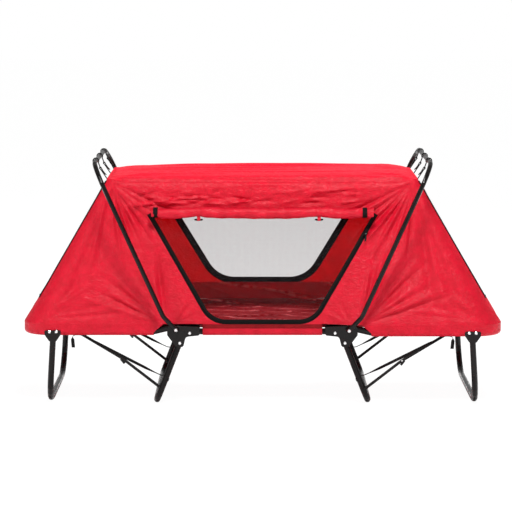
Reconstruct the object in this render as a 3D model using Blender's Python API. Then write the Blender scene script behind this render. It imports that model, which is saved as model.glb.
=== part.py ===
"""Tent cot: a folding camp bed with a low tent hung from two hoops.

Metres, +Z up, floor at z = 0, origin on the floor under the middle of the bed.
-Y is the door side, called near. -X is left, +X is right.

The frame is in three sections that fold like a letter. Four hubs of two pressed
plates join them. Each hub carries the hinge of an end section and of a hoop on
its upper rivet, the middle rail on its inner one and a middle leg on its lower one.
The four kinds of arm run in four side by side lanes, so that they pass each other.
"""
import math

import bmesh
import bpy
from mathutils import Matrix, Vector

# Driving dimensions
RAIL_TUBE = 0.022            # outside diameter of rails and legs
HOOP_TUBE = 0.016            # outside diameter of the hoops
RAIL_Z = 0.258               # height of the rails' centre line
END_REACH = 0.824            # centre of the bed to the centre line of an end rail
END_BEND = 0.085             # bend radius of an end rail's corners
RAIL_Y = 0.315               # centre line to the middle rails, lane one
RUN = 0.0003                 # gap between pieces that touch
HOOP_GAP = 0.0015            # gap between the two hoops' lanes
LANE_GAP = 0.009             # gap between the rails' lanes, for brackets and stays
PLATE = 0.002                # thickness of a hub plate

PIVOT_X = 0.300              # hinge of an end section and a hoop
PIVOT_Z = 0.271
FIX_X = 0.2525               # rivet that holds the middle rail in the hub
LEG_PIVOT_X = 0.287          # hinge of a middle leg
LEG_PIVOT_Z = 0.223
RIVET = 0.006                # rivet shank diameter
RIVET_HEAD = 0.0125
HEAD_HEIGHT = 0.0025
RAIL_END_MARGIN = 0.006      # middle rail past its rivet

MID_FOOT_X = 0.370           # middle leg's foot
MID_LEG_BEND = 0.045
END_LEG_PIVOT_X = END_REACH - 0.093   # end leg's hinge
LEG_DROP = 0.0245            # rail centre line down to the end leg's hinge
END_FOOT_X = END_REACH - 0.079
END_LEG_BEND = 0.095
EYE = 0.010                  # rail or middle leg past its hinge
END_LEG_EYE = 0.006          # end leg past its hinge, short enough to turn under the rail

BRACKET_LENGTH = 0.056
BRACKET_WALL = 0.002
BRACKET_RISE = 0.006         # bracket above the rail's centre line

HOOP_TOP_X = 0.583           # hoop crossbar at rest
HOOP_TOP_Z = 0.846
HOOP_KNEE_X = 0.344          # where a hoop straightens above its hub
HOOP_KNEE_Z = 0.317
HOOP_BEND = 0.095

HOOK_WIRE = 0.004
HOOK_Y = 0.215               # outer roof hooks to the centre line
HOOK_STEM = 0.020
STRAP_WIDTH = 0.018
STRAP_THICK = 0.002

ROOF_X = HOOP_TOP_X - 0.038  # half length of the roof
ROOF_Z = HOOP_TOP_Z - 0.061  # the roof hangs this far under the crossbars
ROOF_CROWN = 0.018
ROOF_Y = 0.255               # half width of the roof
ROOF_CORNER = 0.030
WALL = 0.003                 # cloth solid thickness
CLOTH_GAP = 0.0              # rail's circle to cloth; the flats of its section leave 0.4 mm
HEM_Z = 0.244                # bottom of the cloth at the end sections
LEAN_Z = 0.281               # the walls are upright below this, where they wrap the rails
MIDDLE_HEM_Z = 0.286         # bottom of the cloth between the hubs
HUB_NOTCH = PIVOT_X + 0.045  # hem starts this far out, past the hub
SEAM_X = HUB_NOTCH + 0.050   # seam between the tent's middle and its ends, past the door

BED_THICK = 0.004
BED_Z = 0.2691               # underside, on top of the rails

DOOR_TOP_X = SEAM_X - 0.010
DOOR_TOP_Z = ROOF_Z - 0.117
DOOR_BOTTOM_X = 0.170
DOOR_BOTTOM_Z = 0.298
DOOR_CORNER = 0.060
WINDOW_TOP_X = 0.345
WINDOW_TOP_Z = DOOR_TOP_Z
WINDOW_BOTTOM_X = 0.165
WINDOW_BOTTOM_Z = 0.366
WINDOW_CORNER = 0.050
SCREEN = 0.0015
ROLL_RADIUS = 0.020
ROLL_HALF = DOOR_TOP_X + 0.002
ROLL_Z = DOOR_TOP_Z + 0.004

STAY_ANCHOR_X = END_REACH - 0.180     # stay's hook on the end rail
STAY_ANCHOR_Z = 0.252
STAY_KNEE_X = 0.487
STAY_KNEE_Z = 0.157
STAY_FOOT_SHARE = 0.80       # stay's rivet along the middle leg, hinge to foot
STAY_WIDTH = 0.010
STAY_THICK = 0.002
STAY_GAP = 0.001             # between the two links of a stay
STUD = 0.005
TENSION_X = END_REACH - 0.188         # webbing's loop on the end rail
TENSION_FOOT_SHARE = 0.62    # its loop along the middle leg
TAIL_LENGTH = 0.045
TAIL_X = END_REACH - 0.160

SLIDER_LENGTH = 0.024
SLIDER_WIDTH = 0.008
SLIDER_THICK = 0.003

# Sizes that follow from them
RAIL_R = RAIL_TUBE / 2
HOOP_R = HOOP_TUBE / 2
TUBE_SIDES = 12
FOOT_Z = RAIL_R * math.cos(math.pi / TUBE_SIDES)
INNER_PLATE_Y = RAIL_Y - RAIL_R - RUN
LANE_TWO_Y = RAIL_Y + RAIL_TUBE + LANE_GAP
OUTER_PLATE_Y = LANE_TWO_Y + RAIL_R + RUN
LEFT_HOOP_Y = OUTER_PLATE_Y + PLATE + RUN + HOOP_R
RIGHT_HOOP_Y = LEFT_HOOP_Y + HOOP_TUBE + HOOP_GAP
END_LEG_Z = RAIL_Z - LEG_DROP
STAY_STEP = STAY_THICK + STAY_GAP
LEFT_STAY_Y = INNER_PLATE_Y - PLATE - HEAD_HEIGHT - 3 * RUN
RIGHT_STAY_Y = RAIL_Y + RAIL_R + 2 * RUN
# Where a stay's lower link starts, and the way across the bed its parts stack up
STAY_Y = {-1: LEFT_STAY_Y, 1: RIGHT_STAY_Y}
STAY_WAY = {-1: -1, 1: 1}
END_Y = {-1: RAIL_Y, 1: LANE_TWO_Y}
HOOP_Y = {-1: LEFT_HOOP_Y, 1: RIGHT_HOOP_Y}
SIDE = {-1: "left", 1: "right"}
FLANK = {-1: "near", 1: "far"}


def clear_scene():
    for item in list(bpy.data.objects):
        bpy.data.objects.remove(item, do_unlink=True)


def material(name, colour, roughness, metallic=0.0):
    """One Principled material per finish, made once."""
    found = bpy.data.materials.get(name)
    if found:
        return found
    new = bpy.data.materials.new(name)
    new.use_nodes = True
    shader = new.node_tree.nodes["Principled BSDF"]
    shader.inputs["Base Color"].default_value = (*colour, 1)
    shader.inputs["Roughness"].default_value = roughness
    shader.inputs["Metallic"].default_value = metallic
    return new


def black_paint():
    return material("gloss_black_paint", (0.012, 0.010, 0.010), 0.25)


def bright_steel():
    return material("bright_steel", (0.72, 0.71, 0.72), 0.25, 1.0)


def red_cloth():
    return material("red_cloth", (0.76, 0.012, 0.045), 0.6)


def black_webbing():
    return material("black_webbing", (0.015, 0.014, 0.015), 0.8)


def netting():
    return material("netting", (0.25, 0.24, 0.25), 0.7)


def bed_cloth():
    return material("bed_cloth", (0.17, 0.006, 0.014), 0.6)


def add_object(name, bm, finish, smooth=True):
    """A named object from a bmesh, with its faces pointing out."""
    bmesh.ops.recalc_face_normals(bm, faces=bm.faces)
    if bm.calc_volume(signed=True) < 0:
        bmesh.ops.reverse_faces(bm, faces=bm.faces)
    mesh = bpy.data.meshes.new(name)
    bm.to_mesh(mesh)
    bm.free()
    mesh.materials.append(finish)
    if smooth:
        mesh.shade_smooth()
        mesh.set_sharp_from_angle(angle=math.radians(35))
    item = bpy.data.objects.new(name, mesh)
    bpy.context.scene.collection.objects.link(item)
    return item


def set_origin(item, point):
    """Moves an object's origin onto its joint's axis."""
    item.data.transform(Matrix.Translation(-Vector(point)))
    item.location = point
    return item


def rounded(points, bends, steps=6):
    """A path through points whose inner corners are arcs of the radii in bends."""
    pts = [Vector(p) for p in points]
    path = [pts[0]]
    for before, corner, after, radius in zip(pts, pts[1:], pts[2:], bends):
        a = (before - corner).normalized()
        b = (after - corner).normalized()
        half = a.angle(b) / 2
        centre = corner + (a + b).normalized() * (radius / math.sin(half))
        start = corner + a * (radius / math.tan(half)) - centre
        end = corner + b * (radius / math.tan(half)) - centre
        turn = start.rotation_difference(end)
        for i in range(steps + 1):
            path.append(centre + Matrix.Rotation(turn.angle * i / steps, 3, turn.axis) @ start)
    path.append(pts[-1])
    return path


def tube_into(bm, path, radius, sides=TUBE_SIDES, flat_foot=False):
    """Sweeps a round section along a path in one plane, with capped ends and maybe a flat facet below."""
    count = len(path)
    flat = None
    for i in range(1, count - 1):
        cross = (path[i] - path[i - 1]).cross(path[i + 1] - path[i])
        if cross.length > 1e-9:
            flat = cross.normalized()
            break
    if flat is None:
        flat = (path[-1] - path[0]).orthogonal().normalized()
    phase = 0.0
    if flat_foot:
        ahead = (path[count // 2] - path[count // 2 - 1]).normalized()
        down = Vector((0, 0, -1))
        phase = math.atan2(down.dot(flat), down.dot(flat.cross(ahead)))
    rings = []
    for i, point in enumerate(path):
        ahead = (path[min(i + 1, count - 1)] - path[max(i - 1, 0)]).normalized()
        across = flat.cross(ahead).normalized()
        stretch = 1.0
        if 0 < i < count - 1:
            bend = (path[i] - path[i - 1]).angle(path[i + 1] - path[i])
            stretch = 1 / math.cos(bend / 2)
        ring = []
        for k in range(sides):
            turn = 2 * math.pi * (k + 0.5) / sides + phase
            offset = across * (math.cos(turn) * radius * stretch) + flat * (math.sin(turn) * radius)
            ring.append(bm.verts.new(point + offset))
        rings.append(ring)
    for low, high in zip(rings, rings[1:]):
        for k in range(sides):
            bm.faces.new((low[k], low[(k + 1) % sides], high[(k + 1) % sides], high[k]))
    bm.faces.new(rings[0])
    bm.faces.new(rings[-1])


def tube(name, path, radius, finish, sides=TUBE_SIDES, flat_foot=False):
    bm = bmesh.new()
    tube_into(bm, path, radius, sides, flat_foot)
    return add_object(name, bm, finish)


def turned(name, profile, x, y, z, finish, sides=10):
    """A round piece on an axis along Y: profile is (distance along +Y, radius)."""
    bm = bmesh.new()
    rings = []
    for along, radius in profile:
        ring = []
        for k in range(sides):
            turn = 2 * math.pi * k / sides
            ring.append(bm.verts.new((x + radius * math.cos(turn), y + along, z + radius * math.sin(turn))))
        rings.append(ring)
    for low, high in zip(rings, rings[1:]):
        for k in range(sides):
            bm.faces.new((low[k], low[(k + 1) % sides], high[(k + 1) % sides], high[k]))
    bm.faces.new(rings[0])
    bm.faces.new(rings[-1])
    return add_object(name, bm, finish)


def slab(name, outline, y0, y1, finish, smooth=False):
    """Extrudes an outline of (x, z) points along Y."""
    bm = bmesh.new()
    face = bm.faces.new([bm.verts.new((x, y0, z)) for x, z in outline])
    grown = bmesh.ops.extrude_face_region(bm, geom=[face])
    moved = [v for v in grown["geom"] if isinstance(v, bmesh.types.BMVert)]
    bmesh.ops.translate(bm, verts=moved, vec=(0, y1 - y0, 0))
    return add_object(name, bm, finish, smooth)


def combine(item, other, operation):
    """Applies one exact Boolean of two objects and drops the second."""
    change = item.modifiers.new("fit", "BOOLEAN")
    change.operation = operation
    change.solver = "EXACT"
    change.object = other
    graph = bpy.context.evaluated_depsgraph_get()
    graph.update()
    mesh = bpy.data.meshes.new_from_object(item.evaluated_get(graph))
    item.modifiers.remove(change)
    item.data = mesh
    bpy.data.objects.remove(other, do_unlink=True)
    return item


def round_corners(points, radii, steps=5):
    """A closed (x, z) outline whose corners are arcs."""
    out = []
    count = len(points)
    for i, radius in enumerate(radii):
        corner = Vector(points[i])
        a = (Vector(points[i - 1]) - corner).normalized()
        b = (Vector(points[(i + 1) % count]) - corner).normalized()
        if radius <= 0:
            out.append(tuple(corner))
            continue
        half = a.angle(b) / 2
        reach = min(radius / math.tan(half), (Vector(points[i - 1]) - corner).length * 0.49,
                    (Vector(points[(i + 1) % count]) - corner).length * 0.49)
        radius = reach * math.tan(half)
        centre = corner + (a + b).normalized() * (radius / math.sin(half))
        start = corner + a * reach - centre
        end = corner + b * reach - centre
        swing = start.angle_signed(end)
        for k in range(steps + 1):
            turned_by = Matrix.Rotation(-swing * k / steps, 2)
            out.append(tuple(centre + turned_by @ start))
    return out


def link_outline(a, b, width, steps=5):
    """A flat bar between two (x, z) points with round ends."""
    a, b = Vector(a), Vector(b)
    along = (b - a).normalized()
    heading = math.atan2(along.y, along.x)
    out = []
    for centre, start in ((b, heading - math.pi / 2), (a, heading + math.pi / 2)):
        for k in range(steps + 1):
            turn = start + math.pi * k / steps
            out.append((centre.x + width / 2 * math.cos(turn), centre.y + width / 2 * math.sin(turn)))
    return out


def rivet_profile(length, head=RIVET_HEAD, shank=RIVET):
    """Shank of the given length with a low domed head at each end."""
    dome = [(0, head * 0.34), (HEAD_HEIGHT, head / 2)]
    out = [(d - HEAD_HEIGHT, r) for d, r in dome]
    out.append((0, shank / 2))
    out.append((length, shank / 2))
    out += [(length + HEAD_HEIGHT - d, r) for d, r in reversed(dome)]
    return out


def middle_rails():
    """Straight side tubes, riveted between the plates of two hubs."""
    half = FIX_X + RAIL_END_MARGIN
    for flank in (-1, 1):
        item = tube(f"middle_rail_{FLANK[flank]}", [Vector((-half, flank * RAIL_Y, RAIL_Z)),
                    Vector((half, flank * RAIL_Y, RAIL_Z))], RAIL_R, black_paint())
        for side in (-1, 1):
            cutter = turned("hole", [(-RAIL_TUBE, RIVET / 2 + RUN), (RAIL_TUBE, RIVET / 2 + RUN)],
                            side * FIX_X, flank * RAIL_Y, RAIL_Z, black_paint())
            combine(item, cutter, "DIFFERENCE")


def hub_outline(side):
    """Pressed heart-shaped plate: two upper lobes for the rails and a lower one for the leg."""
    outer = PIVOT_X + 0.031
    inner = FIX_X - 0.034
    points = [(outer, PIVOT_Z + 0.008), (PIVOT_X, PIVOT_Z + 0.012), (inner, PIVOT_Z + 0.009),
              (inner, RAIL_Z - 0.008), (FIX_X + 0.014, RAIL_Z - 0.013), (LEG_PIVOT_X - 0.012, LEG_PIVOT_Z - 0.014),
              (LEG_PIVOT_X + 0.014, LEG_PIVOT_Z - 0.012), (outer, RAIL_Z - 0.007)]
    radii = [0.007, 0.03, 0.007, 0.006, 0.012, 0.008, 0.010, 0.008]
    return [(side * x, z) for x, z in round_corners(points, radii, 3)]


def hubs():
    """Inner and outer plates; the fixed rivets are part of the outer plate they are set in."""
    inner_y = INNER_PLATE_Y - PLATE
    span = OUTER_PLATE_Y - INNER_PLATE_Y
    bore = RIVET / 2 + RUN
    for side in (-1, 1):
        for flank in (-1, 1):
            tag = f"{SIDE[side]}_{FLANK[flank]}"
            inner = slab(f"hub_inner_plate_{tag}", hub_outline(side), flank * inner_y,
                         flank * INNER_PLATE_Y, black_paint())
            outer = slab(f"hub_outer_plate_{tag}", hub_outline(side), flank * OUTER_PLATE_Y,
                         flank * (OUTER_PLATE_Y + PLATE), black_paint())
            spots = ((PIVOT_X, PIVOT_Z), (FIX_X, RAIL_Z), (LEG_PIVOT_X, LEG_PIVOT_Z))
            for x, z in spots:
                combine(inner, turned("bore", [(-0.01, bore), (0.01, bore)], side * x, flank * inner_y, z,
                                      black_paint()), "DIFFERENCE")
            combine(outer, turned("bore", [(-0.01, bore), (0.01, bore)], side * PIVOT_X,
                                  flank * OUTER_PLATE_Y, PIVOT_Z, black_paint()), "DIFFERENCE")
            for x, z in spots[1:]:
                length = span + 2 * PLATE + RUN
                profile = [(flank * d, r) for d, r in rivet_profile(length)]
                combine(outer, turned("rivet", profile, side * x, flank * (inner_y - RUN), z,
                                      bright_steel()), "UNION")
            hoop_out = HOOP_Y[side] + HOOP_R + RUN
            profile = [(flank * d, r) for d, r in rivet_profile(hoop_out - inner_y + RUN)]
            turned(f"hinge_rivet_{tag}", profile, side * PIVOT_X, flank * (inner_y - RUN), PIVOT_Z,
                   bright_steel())


def end_rail_path(side):
    """U in the bed's plane whose ends kink up to the hub's upper rivet."""
    y = END_Y[side]
    kink = PIVOT_X + 0.080
    arm = [(side * (PIVOT_X - EYE), -y, PIVOT_Z), (side * (PIVOT_X + 0.025), -y, PIVOT_Z),
           (side * kink, -y, RAIL_Z), (side * END_REACH, -y, RAIL_Z),
           (side * END_REACH, y, RAIL_Z), (side * kink, y, RAIL_Z),
           (side * (PIVOT_X + 0.025), y, PIVOT_Z), (side * (PIVOT_X - EYE), y, PIVOT_Z)]
    return arm


def swept(path, radius, sides=12):
    """Sweep whose frame keeps to the bed's plane, for paths that also kink up and down."""
    bm = bmesh.new()
    count = len(path)
    rings = []
    for i, point in enumerate(path):
        ahead = (path[min(i + 1, count - 1)] - path[max(i - 1, 0)]).normalized()
        across = ahead.cross(Vector((0, 0, 1))).normalized()
        up = across.cross(ahead).normalized()
        ring = []
        for k in range(sides):
            turn = 2 * math.pi * (k + 0.5) / sides
            ring.append(bm.verts.new(point + across * (math.cos(turn) * radius) + up * (math.sin(turn) * radius)))
        rings.append(ring)
    for low, high in zip(rings, rings[1:]):
        for k in range(sides):
            bm.faces.new((low[k], low[(k + 1) % sides], high[(k + 1) % sides], high[k]))
    bm.faces.new(rings[0])
    bm.faces.new(rings[-1])
    return bm


def end_rails():
    for side in (-1, 1):
        points = end_rail_path(side)
        path = rounded(points, [0.06, 0.06, END_BEND, END_BEND, 0.06, 0.06], 5)
        item = add_object(f"{SIDE[side]}_end_rail", swept(path, RAIL_R), black_paint())
        for flank in (-1, 1):
            y = flank * END_Y[side]
            combine(item, turned("bore", [(-RAIL_TUBE, RIVET / 2 + RUN), (RAIL_TUBE, RIVET / 2 + RUN)],
                                 side * PIVOT_X, y, PIVOT_Z, black_paint()), "DIFFERENCE")
            # The stud ends just past the far face of the stay's upper link
            far_face = STAY_Y[side] + STAY_STEP - RUN
            if side < 0:
                far_face = STAY_Y[side] - STAY_STEP - STAY_THICK - RUN
            reach = END_Y[side] - far_face
            profile = [(0, STUD / 2), (-flank * reach, STUD / 2)]
            combine(item, turned("stud", profile, side * STAY_ANCHOR_X, y, STAY_ANCHOR_Z, black_paint(), 12),
                    "UNION")
        set_origin(item, (side * PIVOT_X, 0, PIVOT_Z))


def leg_path(pivot_x, pivot_z, foot_x, y, bend, side, past):
    """U leg: two arms from their hinges to a crossbar on the floor."""
    top = Vector((side * pivot_x, 0, pivot_z))
    foot = Vector((side * foot_x, 0, FOOT_Z))
    eye = (top - foot).normalized() * past
    near = Vector((0, -y, 0))
    corners = [top + eye + near, foot + near, foot - near, top + eye - near]
    return rounded(corners, [bend, bend], 6)


def end_legs():
    for side in (-1, 1):
        path = leg_path(END_LEG_PIVOT_X, END_LEG_Z, END_FOOT_X, END_Y[side], END_LEG_BEND, side,
                        END_LEG_EYE)
        item = tube(f"{SIDE[side]}_end_leg", path, RAIL_R, black_paint(), flat_foot=True)
        for flank in (-1, 1):
            combine(item, turned("bore", [(-RAIL_TUBE, RIVET / 2 + RUN), (RAIL_TUBE, RIVET / 2 + RUN)],
                                 side * END_LEG_PIVOT_X, flank * END_Y[side], END_LEG_Z, black_paint()),
                    "DIFFERENCE")
        set_origin(item, (side * END_LEG_PIVOT_X, 0, END_LEG_Z))


def stay_foot():
    """Rivet of the stay on the middle leg, as (x, z) on the right side."""
    x = LEG_PIVOT_X + (MID_FOOT_X - LEG_PIVOT_X) * STAY_FOOT_SHARE
    z = LEG_PIVOT_Z + (FOOT_Z - LEG_PIVOT_Z) * STAY_FOOT_SHARE
    return x, z


def middle_legs():
    for side in (-1, 1):
        path = leg_path(LEG_PIVOT_X, LEG_PIVOT_Z, MID_FOOT_X, RAIL_Y, MID_LEG_BEND, side, EYE)
        item = tube(f"{SIDE[side]}_middle_leg", path, RAIL_R, black_paint(), flat_foot=True)
        foot_x, foot_z = stay_foot()
        for flank in (-1, 1):
            combine(item, turned("bore", [(-RAIL_TUBE, RIVET / 2 + RUN), (RAIL_TUBE, RIVET / 2 + RUN)],
                                 side * LEG_PIVOT_X, flank * RAIL_Y, LEG_PIVOT_Z, black_paint()),
                    "DIFFERENCE")
            reach = STAY_Y[side] + STAY_WAY[side] * (STAY_THICK + RUN) - RAIL_Y
            profile = [(0, STUD / 2), (flank * reach, STUD / 2)]
            combine(item, turned("stud", profile, side * foot_x, flank * RAIL_Y, foot_z, black_paint(), 12),
                    "UNION")
        set_origin(item, (side * LEG_PIVOT_X, 0, LEG_PIVOT_Z))


def brackets():
    """Folded saddle over the end rail whose ears hold the end leg's rivet."""
    for side in (-1, 1):
        for flank in (-1, 1):
            y = END_Y[side]
            half = BRACKET_LENGTH / 2
            cx = END_LEG_PIVOT_X
            cloth = CLOTH_GAP + WALL
            outline = [(cx - half, RAIL_Z + BRACKET_RISE), (cx + half, RAIL_Z + BRACKET_RISE),
                       (cx + half, RAIL_Z - 0.010), (cx + 0.012, END_LEG_Z - 0.009),
                       (cx - 0.012, END_LEG_Z - 0.009), (cx - half, RAIL_Z - 0.010)]
            radii = [0.005, 0.005, 0.006, 0.008, 0.008, 0.006]
            shape = [(side * x, z) for x, z in round_corners(outline, radii, 3)]
            outside = y + RAIL_R + cloth + RUN
            tag = f"{SIDE[side]}_{FLANK[flank]}"
            item = slab(f"leg_bracket_{tag}", shape, flank * outside, flank * (outside + BRACKET_WALL),
                        black_paint())
            length = outside - y + RAIL_R + 0.004
            profile = [(flank * d, r) for d, r in ((0, 0.0045), (0.003, 0.0045), (0.003, RIVET / 2),
                                                   (length, RIVET / 2))]
            combine(item, turned("pin", profile, side * cx, flank * (y - RAIL_R - 0.0035), END_LEG_Z,
                                 bright_steel()), "UNION")
            for offset in (-0.013, 0.011):
                head = [(0, RIVET_HEAD * 0.4), (PLATE + 0.001, RIVET_HEAD * 0.4),
                        (PLATE + 0.0022, RIVET_HEAD * 0.25)]
                profile = [(flank * d, r) for d, r in head]
                combine(item, turned("rivet", profile, side * (cx + offset), flank * outside,
                                     RAIL_Z + 0.0005, bright_steel(), 12), "UNION")


def hoops():
    """Hoop that stands outboard of the cloth and hangs the roof from its crossbar."""
    for side in (-1, 1):
        y = HOOP_Y[side]
        lower = Vector((side * (PIVOT_X - 0.006), 0, PIVOT_Z - 0.006))
        knee = Vector((side * HOOP_KNEE_X, 0, HOOP_KNEE_Z))
        top = Vector((side * HOOP_TOP_X, 0, HOOP_TOP_Z))
        near = Vector((0, -y, 0))
        points = [lower + near, knee + near, top + near, top - near, knee - near, lower - near]
        path = rounded(points, [0.06, HOOP_BEND, HOOP_BEND, 0.06], 6)
        bm = bmesh.new()
        rings = []
        sides = 10
        count = len(path)
        outward = Vector((side * 0.9, 0, 0.42)).normalized()
        for i, point in enumerate(path):
            ahead = (path[min(i + 1, count - 1)] - path[max(i - 1, 0)]).normalized()
            across = ahead.cross(outward).normalized()
            up = across.cross(ahead).normalized()
            rings.append([bm.verts.new(point + across * (math.cos(2 * math.pi * (k + 0.5) / sides) * HOOP_R)
                                       + up * (math.sin(2 * math.pi * (k + 0.5) / sides) * HOOP_R))
                          for k in range(sides)])
        for low, high in zip(rings, rings[1:]):
            for k in range(sides):
                bm.faces.new((low[k], low[(k + 1) % sides], high[(k + 1) % sides], high[k]))
        bm.faces.new(rings[0])
        bm.faces.new(rings[-1])
        item = add_object(f"{SIDE[side]}_hoop", bm, black_paint())
        for flank in (-1, 1):
            combine(item, turned("bore", [(-HOOP_TUBE, RIVET / 2 + RUN), (HOOP_TUBE, RIVET / 2 + RUN)],
                                 side * PIVOT_X, flank * y, PIVOT_Z, black_paint()), "DIFFERENCE")
        set_origin(item, (side * PIVOT_X, 0, PIVOT_Z))


HOOK_ROWS = {"near": -HOOK_Y, "middle": 0.0, "far": HOOK_Y}


def hook_point():
    """Where a hook's stem ends and its strap begins, on the right side, as (x, z)."""
    aim = Vector((ROOF_X - HOOP_TOP_X, ROOF_Z - HOOP_TOP_Z)).normalized()
    reach = HOOP_R + RUN + HOOK_WIRE / 2 + HOOK_STEM
    return HOOP_TOP_X + aim.x * reach, HOOP_TOP_Z + aim.y * reach, aim


def hooks():
    """Wire hooks over the hoop's crossbar, with a straight stem towards the roof's edge."""
    ring = HOOP_R + RUN + HOOK_WIRE / 2
    end_x, end_z, aim = hook_point()
    heading = math.atan2(aim.y, aim.x)
    for side in (-1, 1):
        for row, y in HOOK_ROWS.items():
            path = []
            for k in range(13):
                turn = heading + math.radians(100 + 235 * k / 12)
                path.append(Vector((side * (HOOP_TOP_X + ring * math.cos(turn)), y,
                                    HOOP_TOP_Z + ring * math.sin(turn))))
            path.append(Vector((side * end_x, y, end_z)))
            item = tube(f"roof_hook_{SIDE[side]}_{row}", path, HOOK_WIRE / 2, black_paint(), 8)
            set_origin(item, (side * PIVOT_X, 0, PIVOT_Z))


def roof_straps():
    """Short webbing with a slider, from a hook's stem to the roof's end seam."""
    end_x, end_z, aim = hook_point()
    start = Vector((end_x, end_z)) + aim * RUN
    stop = Vector((ROOF_X, ROOF_Z)) - aim * 0.0011
    normal = Vector((-aim.y, aim.x)) * STRAP_THICK / 2
    outline = [start + normal, stop + normal, stop - normal, start - normal]
    for side in (-1, 1):
        for row, y in HOOK_ROWS.items():
            shape = [(side * p.x, p.y) for p in outline]
            slab(f"roof_strap_{SIDE[side]}_{row}", shape, y - STRAP_WIDTH / 2, y + STRAP_WIDTH / 2,
                 black_webbing())


def stays():
    """Two flat links with a knee: riveted to the middle leg, hooked over the end rail's stud."""
    foot = stay_foot()
    knee = (STAY_KNEE_X, STAY_KNEE_Z)
    anchor = (STAY_ANCHOR_X, STAY_ANCHOR_Z)
    bore = STUD / 2 + RUN
    for side in (-1, 1):
        way = STAY_WAY[side]
        low_y = STAY_Y[side]
        high_y = low_y + way * STAY_STEP
        for flank in (-1, 1):
            tag = f"{SIDE[side]}_{FLANK[flank]}"
            shape = [(side * x, z) for x, z in link_outline(foot, knee, STAY_WIDTH)]
            lower = slab(f"stay_lower_{tag}", shape, flank * low_y, flank * (low_y + way * STAY_THICK),
                         black_paint())
            combine(lower, turned("bore", [(-0.02, bore), (0.02, bore)], side * foot[0], flank * low_y,
                                  foot[1], black_paint(), 12), "DIFFERENCE")
            reach = STAY_STEP + STAY_THICK / 2 + RUN
            profile = [(0, STUD / 2), (flank * way * reach, STUD / 2)]
            combine(lower, turned("rivet", profile, side * knee[0], flank * (low_y + way * STAY_THICK / 2),
                                  knee[1], bright_steel(), 12), "UNION")
            set_origin(lower, (side * foot[0], flank * low_y, foot[1]))
            shape = [(side * x, z) for x, z in link_outline(knee, anchor, STAY_WIDTH)]
            upper = slab(f"stay_upper_{tag}", shape, flank * high_y, flank * (high_y + way * STAY_THICK),
                         black_paint())
            corners = ((0.012, -0.002), (0.002, 0.003), (-0.007, -0.014), (-0.001, -0.018))
            tab = [(side * (knee[0] + x), knee[1] + z) for x, z in corners]
            combine(upper, slab("tab", tab, flank * high_y, flank * (high_y + way * STAY_THICK), black_paint()),
                    "UNION")
            combine(upper, turned("bore", [(-0.02, bore), (0.02, bore)], side * knee[0], flank * high_y,
                                  knee[1], black_paint(), 12), "DIFFERENCE")
            slot = link_outline(anchor, (anchor[0], anchor[1] + 2 * STUD), 2 * bore, 4)
            combine(upper, slab("slot", [(side * x, z) for x, z in slot], flank * (high_y + 0.01),
                                flank * (high_y - 0.02), black_paint()), "DIFFERENCE")
            set_origin(upper, (side * knee[0], flank * high_y, knee[1]))


def tension_straps():
    """Webbing from the end rail to the middle leg, whose free tail hangs outside the stay."""
    foot_x = LEG_PIVOT_X + (MID_FOOT_X - LEG_PIVOT_X) * TENSION_FOOT_SHARE + RAIL_R + 0.0017
    foot_z = LEG_PIVOT_Z + (FOOT_Z - LEG_PIVOT_Z) * TENSION_FOOT_SHARE
    half = STRAP_THICK / 2
    top_z = RAIL_Z - FOOT_Z - RUN - half
    turn_x = foot_x + 0.05
    turn_z = foot_z + (top_z - foot_z) * 0.05 / (TENSION_X - foot_x)
    outline = [(foot_x, foot_z - half), (turn_x, turn_z - half), (TENSION_X, top_z - half - 0.001),
               (TAIL_X - 0.006, top_z - 0.003), (TAIL_X - 0.004, top_z - TAIL_LENGTH),
               (TAIL_X - 0.001, top_z - TAIL_LENGTH), (TAIL_X, top_z), (TENSION_X, top_z + half),
               (turn_x, turn_z + half), (foot_x, foot_z + half)]
    for side in (-1, 1):
        for flank in (-1, 1):
            shape = [(side * x, z) for x, z in outline]
            item = slab(f"tension_strap_{SIDE[side]}_{FLANK[flank]}", shape, flank * (END_Y[side] - 0.006),
                        flank * (END_Y[side] + 0.006), black_webbing())
            for vertex in item.data.vertices:
                if abs(vertex.co.x) < foot_x + RUN:
                    vertex.co.y += flank * (RAIL_Y - END_Y[side])


def cloth_half_width(x, share):
    """Half width of the tent at x and a share of its height, 0 at the hem and 1 at the roof."""
    left = RAIL_Y + RAIL_R + CLOTH_GAP + WALL
    right = LANE_TWO_Y + RAIL_R + CLOTH_GAP + WALL
    mix = min(max((x - PIVOT_X) / (HUB_NOTCH - PIVOT_X - RUN), 0.0), 1.0)
    base = left + (right - left) * mix
    return base + (ROOF_Y - base) * share


def lean(z):
    """Share of the wall's slope that is done at height z."""
    return min(max((z - LEAN_Z) / (ROOF_Z - LEAN_Z), 0.0), 1.0)


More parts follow.
